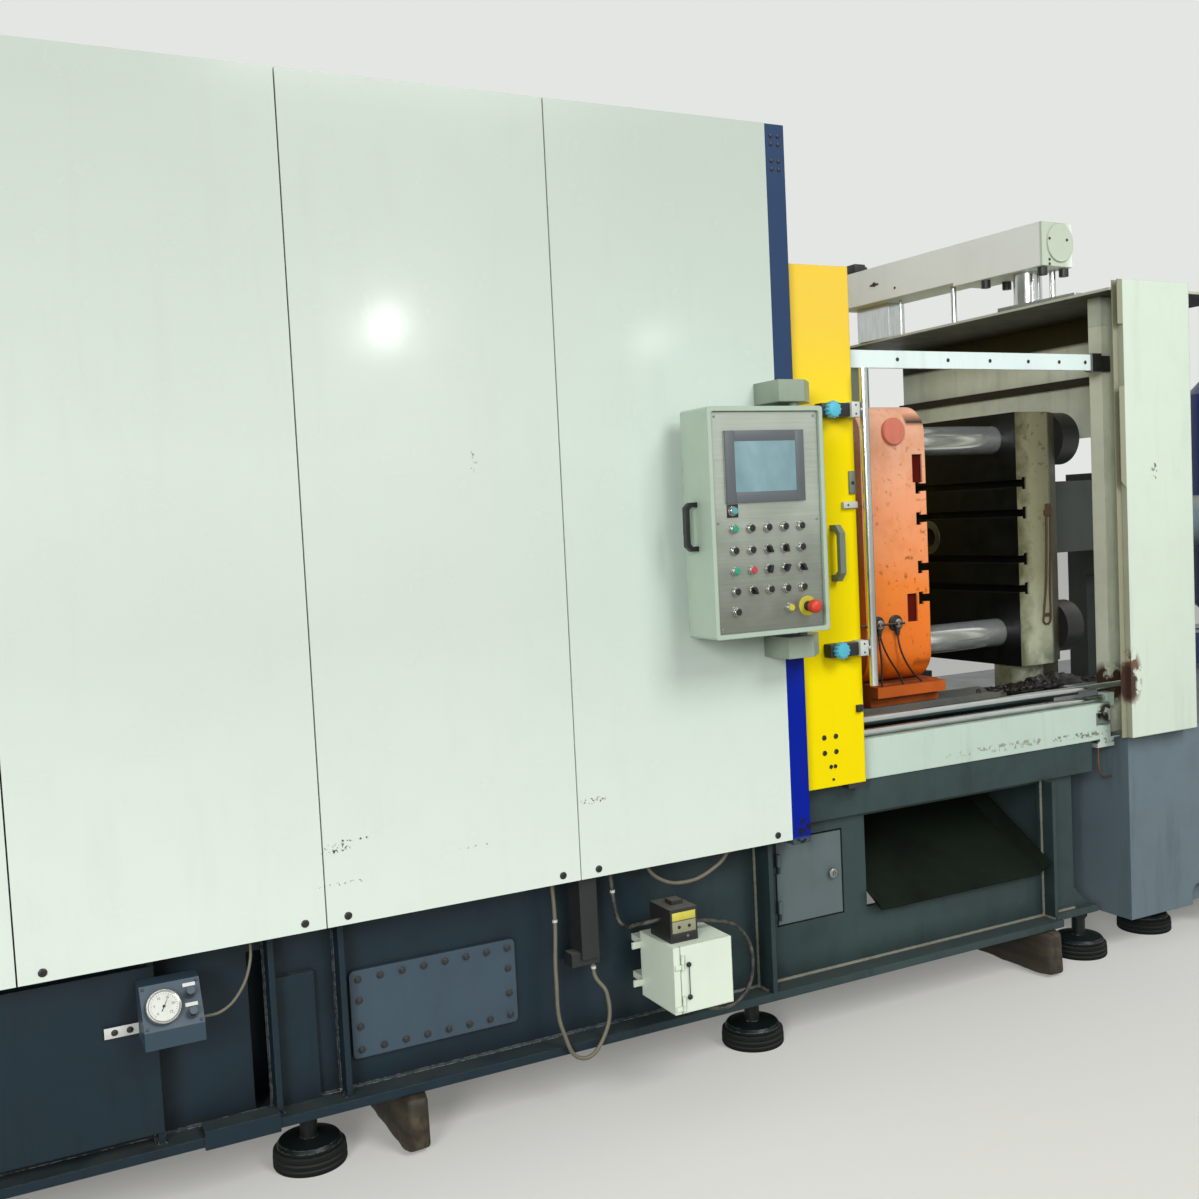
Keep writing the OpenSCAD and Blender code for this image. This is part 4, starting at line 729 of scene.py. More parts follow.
def panel_finish(name, scars=(), fades=()):
    """Powder coat with the long slow waves that a big sheet has."""
    made = painted(name, tint(213, 223, 212), 0.22, mottle=0.05, corner_grime_shade=0.12, soil_and_shade=tint(140, 138, 124),
                   streaks=0.05, chips=0.06, edge=0, peel=0.02, coat=0.35, shine=0.25,
                   fades=fades, scars=scars)
    shader, _, skin, place = parts_of(made)
    wire(shader, {"Normal": bump(grain(place, 1.1, 1), 0.35, 0.006, skin)})
    return made


dark_chip = tint(38, 36, 32)
front_scars = [
    (at(x, -0.940, z), (width, 0.03, height), scale, cover, colour)
    for x, z, width, height, scale, cover, colour in (
        (1.515, 0.885, 0.050, 0.016, 120, 0.46, dark_chip),
        (1.570, 0.905, 0.060, 0.008, 90, 0.42, dark_chip),
        (1.530, 0.790, 0.080, 0.006, 120, 0.44, dark_chip),
        (2.270, 0.905, 0.045, 0.012, 110, 0.45, dark_chip),
        (1.900, 0.830, 0.070, 0.004, 90, 0.40, tint(120, 118, 106)),
        (1.960, 1.880, 0.012, 0.050, 70, 0.42, tint(150, 152, 142)),
    )
]
# The front sheets turn lighter low down, darker at the top and a little darker towards the right: painted
# light and shade.
panel_light_and_shade_fades = [(0, left_x + 2.0, left_x + 2.6, tint(206, 221, 210)), (2, 1.45, 0.75, tint(228, 239, 227)),
               (2, 1.9, 2.8, tint(192, 203, 191))]
dress(panel_finish("panel_white_front", front_scars, panel_light_and_shade_fades), "front_panels")
dress(panel_finish("panel_white"), "rear_panels", "end_panels", "roof_panels")

screw_black = painted("screw_black", tint(24, 24, 24), 0.4, corner_grime_shade=0.2, edge=0.0006)
panel_pitch, screw_in, screw_up, head_t = 0.740, 0.057, 0.023, 0.0034
bm = bmesh.new()
for face_y, facing in ((wall_low.y, FRONT), (back_y - head_t, BACK)):
    for i in range(4):
        for x in (i * panel_pitch + screw_in, (i + 1) * panel_pitch - screw_in):
            turned(bm, [(0, 0), (10.5, 0), (10.5, 1.6), (8.5, 3), (4, 3.4), (3.6, 1.4), (0, 1.4)],
                   on(face_y, x, wall_low.z + screw_up), facing, 20)
new_piece(bm, "panel_screws", screw_black)

# Frame and corner post. Square tubes in navy, and a folded blue channel that goes
# from muted navy at the top to strong royal blue at its chipped foot.
dress(painted("frame_navy", tint(48, 60, 92), chips=0.2), "front_frame", "rear_frame")

post_blue = painted("post_blue", tint(2, 32, 156), 0.35, corner_grime_shade=0.25, streaks=0.1, chips=0.35,
                    metal=tint(28, 26, 30), shine=0.12, fades=[(2, 0.686, 0.676, tint(72, 84, 92))],
                    scars=[(at(2.995, -0.936, 0.700), (0.05, 0.05, 0.05), 60, 0.52, tint(30, 26, 24))])
shader, below, _, place = parts_of(post_blue)
wire(shader, {"Base Color": blend(ramp(split(place)[2], 1.1, 2.0), below, tint(48, 68, 100))})
dress(post_blue, "corner_post")

post_low, post_high = span("corner_post")
bm = bmesh.new()
for x in (0.022, 0.048):
    for z in (0.035, 0.060, 0.110, 0.135):
        disc(bm, Vector((post_low.x + x, post_low.y, post_high.z - z)), FRONT, 0.006, 0.003, 16, 0.001)
new_piece(bm, "post_screws", screw_black)

# Safety door. A folded yellow sheet with stiffening ribs, its latch, handle, bolts,
# and a chrome tube held off its edge by two blue-capped clamps.
dress(painted("door_yellow", tint(255, 230, 0), 0.36, mottle=0.05, corner_grime_shade=0.15, streaks=0.03, chips=0.2,
              metal=tint(60, 54, 40), shine=0.12, fades=[(2, 1.9, 2.3, tint(246, 208, 74))]),
      "safety_door", "rear_door")
door_y = span("safety_door")[0].y
bm = bmesh.new()
for z, r, xs in ((0.975, 8.5, (3.130, 3.176)), (0.925, 8.5, (3.130, 3.176)), (0.878, 6.8, (3.153, 3.170)),
                 (0.836, 4.5, (3.161,))):
    for x in xs:
        turned(bm, [(0, 0), (r, 0), (r, 2), (r * 0.85, 3.2), (r * 0.5, 3.2), (r * 0.45, 1.2), (0, 1.2)],
               on(door_y, x, z), FRONT, 20)
new_piece(bm, "door_bolts", screw_black, "door")

handle_grey = painted("handle_grey", tint(120, 132, 120), 0.4, corner_grime_shade=0.4, edge=0.003)
dress(handle_grey, "door_handle")
dress(bare_steel("tube_chrome", tint(206, 210, 208), 0.16, 0.2, tint(110, 104, 90), 1.0, along_z),
      "door_edge_tube", "lift_columns")

sky_plastic = painted("sky_plastic", tint(86, 190, 214), 0.3, mottle=0.1, corner_grime_shade=0.3, chips=0.1,
                      metal=tint(40, 60, 66), edge=0.002, coat=0.3)
white_plastic = painted("white_plastic", tint(206, 212, 204), 0.4, mottle=0.1, chips=0.1, edge=0.002)
lobes, lobe_ring = 12, 0.0235
bm = bmesh.new()
for z in (1.255, 2.018):
    block(bm, on(door_y - 0.0378, 3.141, z - 0.022), on(door_y - seat, 3.2538, z + 0.022), 0.004, 1)
    knob = on(door_y - 0.037, 3.179, z)
    for i in range(lobes):
        angle = 2 * pi * i / lobes
        turned(bm, [(0, 0), (4.4, 0), (4.4, 16), (3, 18.5), (0, 19)],
               knob + Vector((cos(angle), 0, sin(angle))) * lobe_ring, FRONT, 10)
    turned(bm, [(0, 0), (24.2, 0), (24.2, 16.5), (21.5, 20.5), (10, 22.8), (0, 22.8)], knob, FRONT, 36)
    block(bm, on(door_y - 0.0458, 3.2532, z - 0.025), on(door_y - seat, 3.2868, z + 0.025), 0.0035, 2)
    for offset in (-0.014, 0.014):
        disc(bm, on(door_y - 0.0458, 3.270, z + offset), FRONT, 0.0035, 0.0002, 14, index=1)
clamps = new_piece(bm, "tube_clamp_blocks", [sky_plastic, gland_black, white_plastic], "door")
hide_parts("tube_clamps")

bm = bmesh.new()
block(bm, on(door_y - 0.014, 3.232, 1.705), on(door_y - seat, 3.290, 1.727), 0.003)
disc(bm, on(door_y - 0.014, 3.250, 1.716), FRONT, 0.0035, 0.0012, 14, 0.0004, 1)
block(bm, on(door_y - 0.006, 3.264, 1.751), on(door_y - seat, 3.289, 1.825), 0.0015, 2)
disc(bm, on(door_y - 0.0062, 3.277, 1.787), FRONT, 0.0055, 0.0016, 18, 0.0004, 1)
block(bm, on(door_y - 0.012, 3.260, 1.044), on(door_y - seat, 3.282, 1.068), 0.002, 1)
new_piece(bm, "door_latch", [white_plastic, gland_black, handle_grey], "door")

# Door guides. A flat white guide bar above, a cream beam with two chrome rods below, both drilled for
# screws, chipped black along the lower edge; the beam is oily at its end and the bar turns near black at
# its end.
dress(painted("sill_cream", tint(200, 220, 206), 0.38, corner_grime_shade=0.6, chips=0.5, metal=tint(50, 46, 38), scars=[
    (at(3.95, -0.842, 0.838), (0.32, 0.03, 0.016), 70, 0.47, tint(150, 156, 140)),
    (at(4.30, -0.842, 0.832), (0.18, 0.03, 0.014), 70, 0.48, tint(120, 122, 106)),
    (at(4.45, -0.842, 0.900), (0.05, 0.06, 0.050), 24, 0.60, tint(40, 34, 24)),
    (at(4.45, -0.830, 0.800), (0.10, 0.06, 0.012), 24, 0.60, tint(40, 38, 30)),
]), "door_sill_beam")
dress(painted("bar_white", tint(234, 250, 246), 0.35, mottle=0.08, corner_grime_shade=0.4, chips=0.4,
              metal=tint(60, 56, 48), fades=[(0, left_x + 4.424, left_x + 4.432, tint(34, 34, 32))]),
      "door_top_bar")

bm = bmesh.new()
for x in (3.32, 3.53, 3.75, 3.94, 4.12, 4.27, 4.40):
    turned(bm, [(0, 0), (6.5, 0), (6.5, 1.4), (5, 2), (4.4, 0.6), (0, 0.6)],
           at(x, -0.834, 2.192), FRONT, 18)
new_piece(bm, "guide_bar_screws", screw_black)

copper = bare_steel("copper_tube", tint(150, 96, 60), 0.35, 0.5, tint(60, 40, 26))
grease_route = [(4.430, -0.822, 0.777), (4.430, -0.822, 0.735), (4.434, -0.820, 0.690),
                (4.450, -0.812, 0.662), (4.485, -0.804, 0.652), (4.519, -0.800, 0.650)]
smooth_tube("grease_tube", grease_route, 0.003, copper, "machine")

# Column, post and hood. Cream folded sheets, oil-stained and burnt brown near the bed, under a roof sheet
# whose underside is painted near black, as die-spray grime together with painted shade.
burn = tint(58, 34, 22)
# The columns' leftmost strip is painted darker as painted shade on their turned-back side.
dress(painted("column_cream", tint(226, 240, 222), 0.34, mottle=0.08, corner_grime_shade=0.45, soil_and_shade=tint(96, 90, 70),
              streaks=0.12, chips=0.15, coat=0.15,
              fades=[(0, left_x + 4.4775, left_x + 4.4755, tint(158, 158, 132))], scars=[
    (at(4.482, -0.930, 1.040), (0.056, 0.06, 0.115), 26, 0.52, tint(112, 86, 62)),
    (at(4.472, -0.925, 1.020), (0.038, 0.06, 0.085), 9, 0.66, burn),
    (at(4.620, -0.940, 1.790), (0.020, 0.03, 0.050), 60, 0.46, tint(120, 116, 104)),
]), "right_column", "rear_column")
dress(painted("stained_cream", tint(222, 228, 204), 0.42, mottle=0.25, corner_grime_shade=0.6, soil_and_shade=tint(70, 64, 46),
              streaks=0.2, scars=[(at(4.545, -0.780, 1.000), (0.08, 0.08, 0.09), 14, 0.62, burn)]),
      "inner_post")
beam_y = span("lift_beam")[0].y
# The beam's front end is painted darker as painted shade.
dress(painted("lift_cream", tint(250, 254, 246), 0.4, mottle=0.08, corner_grime_shade=0.3, soil_and_shade=tint(90, 88, 70),
              streaks=0.06, chips=0.2, fades=[
    (1, beam_y + 0.016, beam_y + 0.013, tint(204, 214, 194)), (2, 2.5850, 2.5840, tint(20, 20, 20)),
]), "lift_beam")

bm = bmesh.new()
for x, y, z in ((-0.050, -0.006, 0.087), (0.048, -0.006, 0.087), (-0.046, 0, 0.010), (-0.046, 0, -0.007)):
    disc(bm, Vector((x, y, z)), FRONT, 0.0052, 0.0025, 14, 0.0006)
for y, z, radius in ((0.905, 0.076, 0.010), (1.080, 0.077, 0.006), (0.780, 0.040, 0.005)):
    disc(bm, Vector((-0.086, y, z)), LEFT, radius, 0.004, 16, 0.001)
block(bm, (-0.090, 0.880, 0.070), (-0.0858, 0.930, 0.078), 0.001)
block(bm, (-0.084, 1.025, 0.1502), (-0.022, 1.085, 0.190), 0.004)
disc(bm, Vector((-0.022, 1.055, 0.170)), RIGHT, 0.0185, 0.024, chamfer=0.003)
beam_place = Matrix.Translation(at(4.515, -0.610, 2.600)) @ Matrix.Rotation(radians(4), 4, "Z")
bmesh.ops.transform(bm, matrix=beam_place, verts=bm.verts[:])
new_piece(bm, "lift_fittings", black_oxide)

hood_cream = painted("hood_cream", tint(206, 214, 192), mottle=0.25, corner_grime_shade=0.4, streaks=0.25)
shader, above, _, place = parts_of(hood_cream)
# Faces that look down turn near black: die-spray grime together with painted shade under the roof.
underside_spray_and_shade = calc("ADD", split(facing_of(place))[2], times(grain(place, 8, 5), 0.3))
wire(shader, {"Base Color": blend(ramp(underside_spray_and_shade, -0.35, -0.65, 0, 0.97), above, tint(48, 44, 32))})
dress(hood_cream, "hood_roof")
# The wall's top strip is painted near black as the roof's painted shadow, and the dark band at its lip is
# painted shade.
lip_shade_place = Vector((span("hood_wall")[0].x, centre_y, 2.182))
dress(painted("hood_wall_cream", tint(246, 253, 232), mottle=0.25, corner_grime_shade=0.4, soil_and_shade=tint(70, 66, 50),
              streaks=0.2, chips=0.2, fades=[(2, 2.330, 2.345, tint(44, 42, 28))],
              scars=[(lip_shade_place, (0.06, 60, 0.024), 3, 0.9, tint(48, 44, 30))]), "hood_wall")

# Control pendant. A grey-green folded box with a brushed stainless plate, a touch
# screen in a grey bezel, rows of chrome-collared buttons and a red mushroom stop.
dress(painted("pendant_green", tint(178, 196, 178), 0.4, mottle=0.1, corner_grime_shade=0.35, soil_and_shade=tint(96, 98, 82),
              streaks=0.05, chips=0.12, peel=0.12), "pendant_box")
dress(painted("bracket_green", tint(150, 164, 146), 0.42, streaks=0.1, chips=0.25, dust=0.2),
      "pendant_brackets")
dress(painted("grip_black", tint(20, 20, 20), 0.35, corner_grime_shade=0.2, chips=0.15), "pendant_handle")

plate_low, plate_high = span("pendant_face")
stainless = tint(184, 192, 180)
brushed, shader, place = new_material("brushed_plate")
hair = grain(place, 190, 3, (0.02, 1, 1))
hands = grain(place, 7, 5)
tone = blend(ramp(hair, 0.3, 0.7, 0, 0.4), stainless, shade(stainless, 0.65))
low = calc("ADD", split(place)[2], times(hands, 0.25))
smudge = ramp(low, plate_high.z - 0.1, plate_low.z + 0.15, 0, 0.62)
wire(shader, {"Base Color": blend(smudge, tone, tint(84, 82, 68)), "Metallic": 0.75,
              "Roughness": ramp(hands, 0.3, 0.7, 0.3, 0.45), "Normal": bump(hair, 0.12, 0.0006)})
dress(brushed, "pendant_face")

bezel_grey = painted("bezel_grey", tint(92, 98, 102), mottle=0.05, corner_grime_shade=0.2, chips=0, edge=0.002)
glass, shader, place = new_material("screen_glass")
tone = blend(ramp(grain(place, 9, 3, (1, 1, 0.6)), 0.3, 0.7), tint(100, 132, 138), tint(126, 158, 164))
wire(shader, {"Base Color": tone, "Emission Color": tone, "Emission Strength": 0.2, "Roughness": 0.12,
              "Coat Weight": 0.6})
rim, lap = 0.031, 0.001
low, high = on(plate_low.y - 0.0006, 2.6416, 1.7356), on(plate_low.y + 0.007, 2.9124, 1.9414)
left, right, foot, top = low.x + rim, high.x - rim, low.z + rim, high.z - rim
bm = bmesh.new()
for a, b in (
    (low, (left, high.y, high.z)),
    ((right, low.y, low.z), high),
    ((left, low.y, top), (right, high.y, high.z)),
    ((left, low.y, low.z), (right, high.y, foot)),
):
    block(bm, a, b, 0.0006)
block(bm, (left - lap, plate_low.y - 0.0003, foot - lap),
      (right + lap, plate_low.y + 0.004, top + lap), index=1)
new_piece(bm, "touch_screen", [bezel_grey, glass], "pendant")

caps = [painted(f"cap_{name}", colour, rough, mottle=mottle, corner_grime_shade=corner_grime_shade, chips=0, edge=0.001, coat=coat)
        for name, colour, rough, mottle, corner_grime_shade, coat in (
            ("black", tint(22, 22, 22), 0.35, 0.05, 0.2, 0),
            ("green", tint(22, 158, 116), 0.3, 0.05, 0.2, 0.4),
            ("red", tint(196, 60, 66), 0.3, 0.08, 0.2, 0.4),
            ("yellow", tint(206, 192, 60), 0.4, 0.1, 0.4, 0),
            ("blue", tint(90, 160, 170), 0.3, 0.05, 0.2, 0))]
stop_red = painted("stop_red", tint(214, 62, 40), 0.4, mottle=0.15, corner_grime_shade=0.35, chips=0.15, edge=0.002)
collar_chrome = bare_steel("collar_chrome", tint(176, 178, 172), 0.2, 0.3, tint(70, 66, 56), 1.0)
CHROME, BLACK, GREEN, RED, YELLOW, BLUE, STOP = range(7)
face_y = at(0, -1.131, 0).y
button_x, button_pitch, screen_button_z, foot_row_z = 2.662, 0.058, 1.714, 1.426
rows = [(1.663, "gbbbb"), (1.601, "bbssb"), (1.543, "grsss"), (1.484, "bsbbb")]
collar = [(0, 0), (15, 0), (15, 2.2), (13.8, 4), (12.2, 4.2)]
bm = bmesh.new()


def push_button(x, z, index, lit=False):
    """A chrome collar with a shallow cap, or a raised coloured one."""
    spot = on(face_y, x, z)
    turned(bm, collar + [(11.8, 11), (10.4, 12), (0, 12)], spot, FRONT, 28, CHROME)
    rise = 15.5 if lit else 12.8
    turned(bm, [(0, 11), (9.8, 11), (9.8, rise), (8.6, rise + 1.4), (0, rise + 1.6)],
           spot, FRONT, 24, index)
    if not lit:
        disc(bm, spot + FRONT * (rise + 1) / 1000, FRONT, 0.006, 0.0008, 20, index=index)


def selector(x, z, turn):
    """A black selector: a chrome collar, a round base and a raised lever."""
    spot = on(face_y, x, z)
    turned(bm, collar + [(11.8, 8), (0, 8)], spot, FRONT, 28, CHROME)
    turned(bm, [(0, 7.8), (11.2, 7.8), (10.8, 11), (0, 11.2)], spot, FRONT, 24, BLACK)
    lever = bmesh.new()
    block(lever, (-0.0038, -0.012, 0), (0.0038, 0.012, 0.011), 0.0018, BLACK)
    matrix = facing_matrix(spot + FRONT * 0.0105, FRONT, radians(turn))
    bmesh.ops.transform(lever, matrix=matrix, verts=lever.verts[:])
    join(bm, lever)


push_button(button_x, screen_button_z, BLUE, lit=True)
block(bm, on(face_y - 0.0012, button_x - 0.019, screen_button_z - 0.019),
      on(face_y - seat, button_x + 0.019, screen_button_z + 0.019), 0.0003, BLACK)
for z, kinds in rows:
    for i, kind in enumerate(kinds):
        x = button_x + i * button_pitch
        if kind == "s":
            selector(x, z, -35 + 22 * ((i * 7 + int(z * 1000)) % 4))
        else:
            push_button(x, z, {"g": GREEN, "r": RED, "b": BLACK}[kind], lit=kind != "b")
push_button(button_x, foot_row_z, BLACK)
push_button(button_x + 3.15 * button_pitch, foot_row_z, YELLOW, lit=True)
stop = on(face_y, button_x + 4.25 * button_pitch, foot_row_z)
for steps, index, profile in (
    (40, YELLOW, [(0, 0), (30, 0), (30, 3), (28.5, 4.5), (0, 4.8)]),
    (32, BLACK, [(0, 4.6), (15, 4.6), (15, 22), (13.5, 28), (0, 28)]),
    (40, STOP, [(0, 26), (17.5, 26.2), (20, 31), (20.3, 40), (19, 47.5), (15, 52.8), (8, 55.2), (0, 55.8)]),
):
    turned(bm, profile, stop, FRONT, steps, index)
controls = new_piece(bm, "pendant_buttons", [collar_chrome, *caps, stop_red], "pendant")
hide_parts("pendant_controls")

inset = 0.012
bm = bmesh.new()
for x in (plate_low.x + inset, plate_high.x - inset):
    for z in (plate_low.z + inset, plate_high.z - inset, (plate_low.z + plate_high.z) / 2):
        disc(bm, Vector((x, face_y, z)), FRONT, 0.0042, 0.0012, 16, 0.0004)
new_piece(bm, "plate_screws", zinc, "pendant")

# Junction box. An off-white enamelled box on two wall lugs, with a lid whose black
# latches are joined by a rod, a black transformer on top and its cable glands.
dress(painted("box_white", tint(236, 248, 228), 0.4, corner_grime_shade=0.4, soil_and_shade=tint(96, 92, 76), streaks=0.1,
              chips=0.15, coat=0.1), "junction_box", "junction_door")
dress(painted("transformer_black", tint(34, 36, 34), 0.4, corner_grime_shade=0.3, chips=0.15, dust=0.3),
      "transformer_box")
label_yellow = painted("strip_yellow", tint(222, 212, 84), 0.5, mottle=0.15, corner_grime_shade=0.3)
socket_grey = painted("socket_grey", tint(160, 160, 132), 0.5, mottle=0.2, corner_grime_shade=0.3, chips=0.2, edge=0.001)
lid_low, lid_high = span("junction_door")
latch_foot, latch_top = (Vector((lid_low.x + 0.026, at(0, -1.090, 0).y, z))
                         for z in (lid_low.z + 0.045, lid_high.z - 0.055))
bm = bmesh.new()
for latch in (latch_foot, latch_top):
    disc(bm, latch, FRONT, 0.0075, 0.005, 20, 0.001)
    disc(bm, latch + FRONT * 0.005, FRONT, 0.003, 0.003, 12)
disc(bm, latch_foot + FRONT * 0.004, UP, 0.0012, latch_top.z - latch_foot.z, 8)
new_piece(bm, "box_latches", gland_black, "box_lid")

strip = span("transformer_box")[0] + Vector((0, -0.0012, 0.098))
bm = bmesh.new()
for foot, top, index in ((-0.034, -0.010, 0), (-0.070, -0.036, 1), (-0.092, -0.072, 2)):
    block(bm, strip + Vector((0.006, 0, foot)), strip + Vector((0.084, 0.0022, top)), 0.0004, index)
for x in (0.028, 0.062):
    disc(bm, strip + Vector((x, 0, -0.053)), FRONT, 0.0052, 0.0014, 16, 0.0005, 2)
disc(bm, strip + Vector((0.055, 0, -0.082)), FRONT, 0.0042, 0.003, 16, 0.001, 3)
new_piece(bm, "transformer_strip", [label_yellow, socket_grey, gland_black, zinc])

# Gauge box. A blue-grey console whose leaning face has a white dial in a silver ring,
# plain numbers and a needle, and two black knobs beside bare white strips.
dress(painted("gauge_paint", tint(44, 66, 80), 0.4, corner_grime_shade=0.3, edge=0.002), "gauge_box")
dial_white = painted("dial_white", tint(214, 216, 208), 0.5, mottle=0.03, corner_grime_shade=0, chips=0, edge=0)
ink = painted("dial_ink", tint(24, 24, 24), 0.5, mottle=0, corner_grime_shade=0, chips=0, edge=0)
dial = Vector((0.051, 0.054, 0.014))
ink_z, start_angle, sweep, marks, numbered = 0.0006, 225, -270, 25, 5


def on_dial(i, radius):
    """A mark's angle, and the matrix of its place at a radius."""
    angle = radians(start_angle + sweep * i / marks)
    return angle, Matrix.Translation(dial + Vector((cos(angle) * radius, sin(angle) * radius, ink_z)))


bm = bmesh.new()
turned(bm, [(42, -13.8), (42, 0.6), (40.5, 2.4), (38.5, 2.4), (35, 0.4), (35, -1)], dial, UP, 56)
disc(bm, dial + UP * 0.0002, UP, 0.0352, 0.0003, 48, index=1)
faces_before = set(bm.faces)
for i in range(marks + 1):
    long = 0.003 if i % numbered else 0.005
    angle, spot = on_dial(i, 0.0325 - long / 2)
    size = Matrix.Diagonal((long, 0.0008, 0.0002, 1))
    bmesh.ops.create_cube(bm, size=1, matrix=spot @ Matrix.Rotation(angle, 4, "Z") @ size)
needle = ((-0.0071, -0.0109), (-0.0049, -0.0121), (0.0148, 0.0245))
bm.faces.new([bm.verts.new(dial + Vector((x, y, 0.0014))) for x, y in needle])
mark(bm, faces_before, 2)
disc(bm, dial + UP * ink_z, UP, 0.0035, 0.0018, 20, 0.0005, 2)
for i in range(0, marks + 1, numbered):
    data = bpy.data.curves.new("figures", "FONT")
    data.body = str(i)
    data.size = 0.0085
    data.align_x = data.align_y = "CENTER"
    data.extrude = 0.0001
    obj = bpy.data.objects.new("figures", data)
    mesh = bpy.data.meshes.new_from_object(obj)
    mesh.transform(on_dial(i, 0.0225)[1])
    faces_before = set(bm.faces)
    bm.from_mesh(mesh)
    mark(bm, faces_before, 2)
    bpy.data.objects.remove(obj)
    bpy.data.curves.remove(data)
    bpy.data.meshes.remove(mesh)
for y in (0.028, 0.077):
    knob = Vector((0.117, y, 0))
    turned(bm, [(0, 0), (14, 0), (14, 2), (9, 3), (9, 8), (9.8, 10), (9.8, 24), (8.5, 25.8), (0, 25.8)],
           knob, UP, 20, 3)
    block(bm, knob + Vector((-0.015, 0.0165, 0)), knob + Vector((0.015, 0.0255, 0.0008)), 0.0002, 1)
for x in (0.008, 0.135):
    for y in (0.008, 0.106):
        disc(bm, Vector((x, y, 0)), UP, 0.004, 0.0018, 14, 0.0005, 3)
face_depth, box_top, face_foot = 0.060, 0.142, 0.045
face_lean = atan2(face_depth, box_top - face_foot)
face_matrix = Matrix.Translation(at(1.007, -0.9993, 0.525)) @ Matrix.Rotation(pi / 2 - face_lean, 4, "X")
bmesh.ops.transform(bm, matrix=face_matrix, verts=bm.verts[:])
lug_y = -0.8885
block(bm, at(0.926, lug_y, 0.491), at(1.007, lug_y + 0.0011, 0.518), 0.0003, 1)
for x in (0.950, 0.986):
    bolt(bm, at(x, lug_y, 0.5045), FRONT, 0.006, 3)
new_piece(bm, "gauge_dial", [collar_chrome, dial_white, ink, gland_black], "machine")

# Cables and duct. Grey and black sheathed cables, clipped all the way from the duct
# and the base to the boxes, with white ties where they cross.
dress(painted("duct_black", tint(30, 32, 34), 0.5, corner_grime_shade=0.3, chips=0.2, dust=0.3), "cable_duct")


def sheath(name, colour):
    made, shader, place = new_material(name)
    scuff = grain(place, 40, 5)
    wire(shader, {"Base Color": blend(ramp(scuff, 0.4, 0.7, 0, 0.6), colour, tint(120, 114, 98)),
                  "Roughness": ramp(scuff, 0.3, 0.7, 0.42, 0.65),
                  "Normal": bump(grain(place, 300, 2), 0.2, 0.0006)})
    return made


tan_sheath = sheath("sheath_tan", tint(104, 100, 84))
black_sheath = sheath("sheath_black", tint(34, 34, 34))
cable_r, gauge_cable_r = 0.006, 0.004
cables = [smooth_tube(f"cable_{name}", route, radius, finish, "machine", 10)
          for name, radius, finish, route in (
    ("loop", cable_r, tan_sheath, [
        (2.150, -0.885, 0.6895), (2.152, -0.890, 0.560), (2.140, -0.905, 0.400), (2.150, -0.915, 0.240),
        (2.210, -0.918, 0.150), (2.280, -0.916, 0.200), (2.300, -0.905, 0.320), (2.274, -0.885, 0.372),
        (2.272, -0.880, 0.409)]),
    ("arc", cable_r, tan_sheath, [
        (2.460, -0.890, 0.689), (2.463, -0.890, 0.668), (2.500, -0.895, 0.625), (2.590, -0.895, 0.600),
        (2.690, -0.895, 0.625), (2.747, -0.890, 0.668), (2.750, -0.890, 0.688)]),
    ("feed", cable_r, black_sheath, [
        (2.345, -0.870, 0.689), (2.347, -0.875, 0.640), (2.350, -0.882, 0.580), (2.365, -0.900, 0.510),
        (2.385, -0.960, 0.525), (2.412, -0.998, 0.538), (2.440, -1.000, 0.540)]),
    ("drain", cable_r, black_sheath, [
        (2.5335, -1.010, 0.520), (2.620, -0.990, 0.500), (2.740, -0.960, 0.440), (2.780, -0.955, 0.330),
        (2.740, -0.950, 0.230), (2.640, -0.950, 0.215), (2.570, -0.950, 0.270)]),
    ("gauge", gauge_cable_r, tan_sheath, [
        (1.290, -0.890, 0.6885), (1.285, -0.900, 0.620), (1.250, -0.925, 0.555), (1.200, -0.945, 0.523),
        (1.1505, -0.950, 0.520)]),
)]
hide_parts("cables")

bm = bmesh.new()
for point in ((2.152, -0.890, 0.560), (2.348, -0.8785, 0.610), (2.2725, -0.8815, 0.397)):
    turned(bm, [(6.2, -4), (7.8, -4), (7.8, 4), (6.2, 4), (6.2, -4)], at(*point), UP, 16)
new_piece(bm, "cable_ties", white_plastic, "machine")

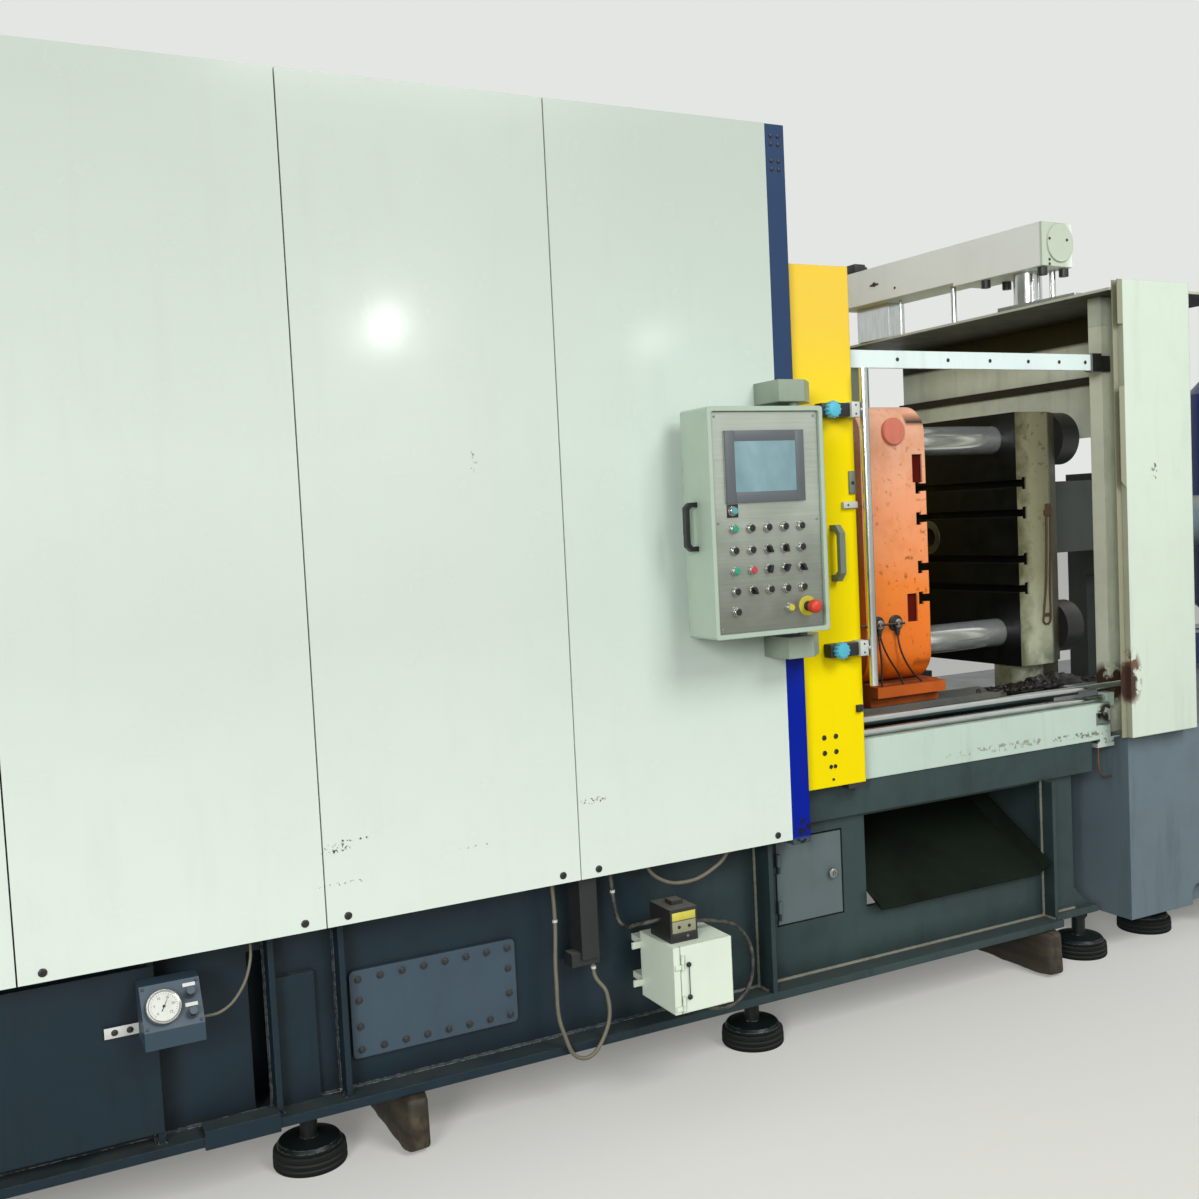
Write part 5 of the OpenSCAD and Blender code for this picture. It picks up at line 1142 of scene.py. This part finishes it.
# Studio. A pale floor and backdrop that give little light back, a broad soft light high
# in front, a key from the left and two small round lamps that the panels mirror.
floor_material, shader, _ = new_material("floor")
rays = put(shader, "LightPath").outputs
seen = calc("MAXIMUM", rays["Is Camera Ray"], rays["Is Glossy Ray"])
pale = tint(206, 205, 200)
wire(shader, {"Base Color": blend(seen, tint(120, 118, 112), pale), "Roughness": 0.85,
              "Emission Color": pale, "Emission Strength": times(seen, 0.3)})
bm = bmesh.new()
bmesh.ops.create_circle(bm, cap_ends=True, segments=64, radius=60)
floor_mesh = bpy.data.meshes.new("floor")
bm.to_mesh(floor_mesh)
bm.free()
floor_mesh.materials.append(floor_material)
floor = bpy.data.objects.new("floor", floor_mesh)
scene.collection.objects.link(floor)

world = bpy.data.worlds.new("studio")
scene.world = world
world.use_nodes = True
backdrop = world.node_tree.nodes["Background"]
rays = put(backdrop, "LightPath").outputs
mirrored = calc("MAXIMUM", rays["Is Glossy Ray"], rays["Is Transmission Ray"])
seen = calc("MAXIMUM", rays["Is Camera Ray"], mirrored)
wire(backdrop, {"Color": blend(seen, tint(206, 210, 212), tint(228, 230, 228)),
                "Strength": ramp(seen, 0, 1, 0.45, 1)})

for name, place, target, size, power, shape in (
    ("lamp_left", (0.06, -6.66, 3.2), (-1, -0.8, 1.5), 0.22, 12, "DISK"),
    ("lamp_right", (1.95, -6.09, 3.05), (-0.5, -0.8, 1.5), 0.22, 2.5, "DISK"),
    ("ceiling", (1.5, -8.8, 8), (0, -0.8, 1.3), 4.2, 560, "SQUARE"),
    ("key", (-8.8, -9.2, 4.2), (0, -0.6, 1.4), 3.5, 760, "SQUARE"),
):
    data = bpy.data.lights.new(name, "AREA")
    data.shape = shape
    data.size = size
    data.energy = power
    lamp = bpy.data.objects.new(name, data)
    lamp.location = place
    lamp.rotation_mode = "QUATERNION"
    lamp.rotation_quaternion = (Vector(target) - Vector(place)).to_track_quat("-Z", "Y")
    scene.collection.objects.link(lamp)

scene.view_settings.view_transform = "Standard"
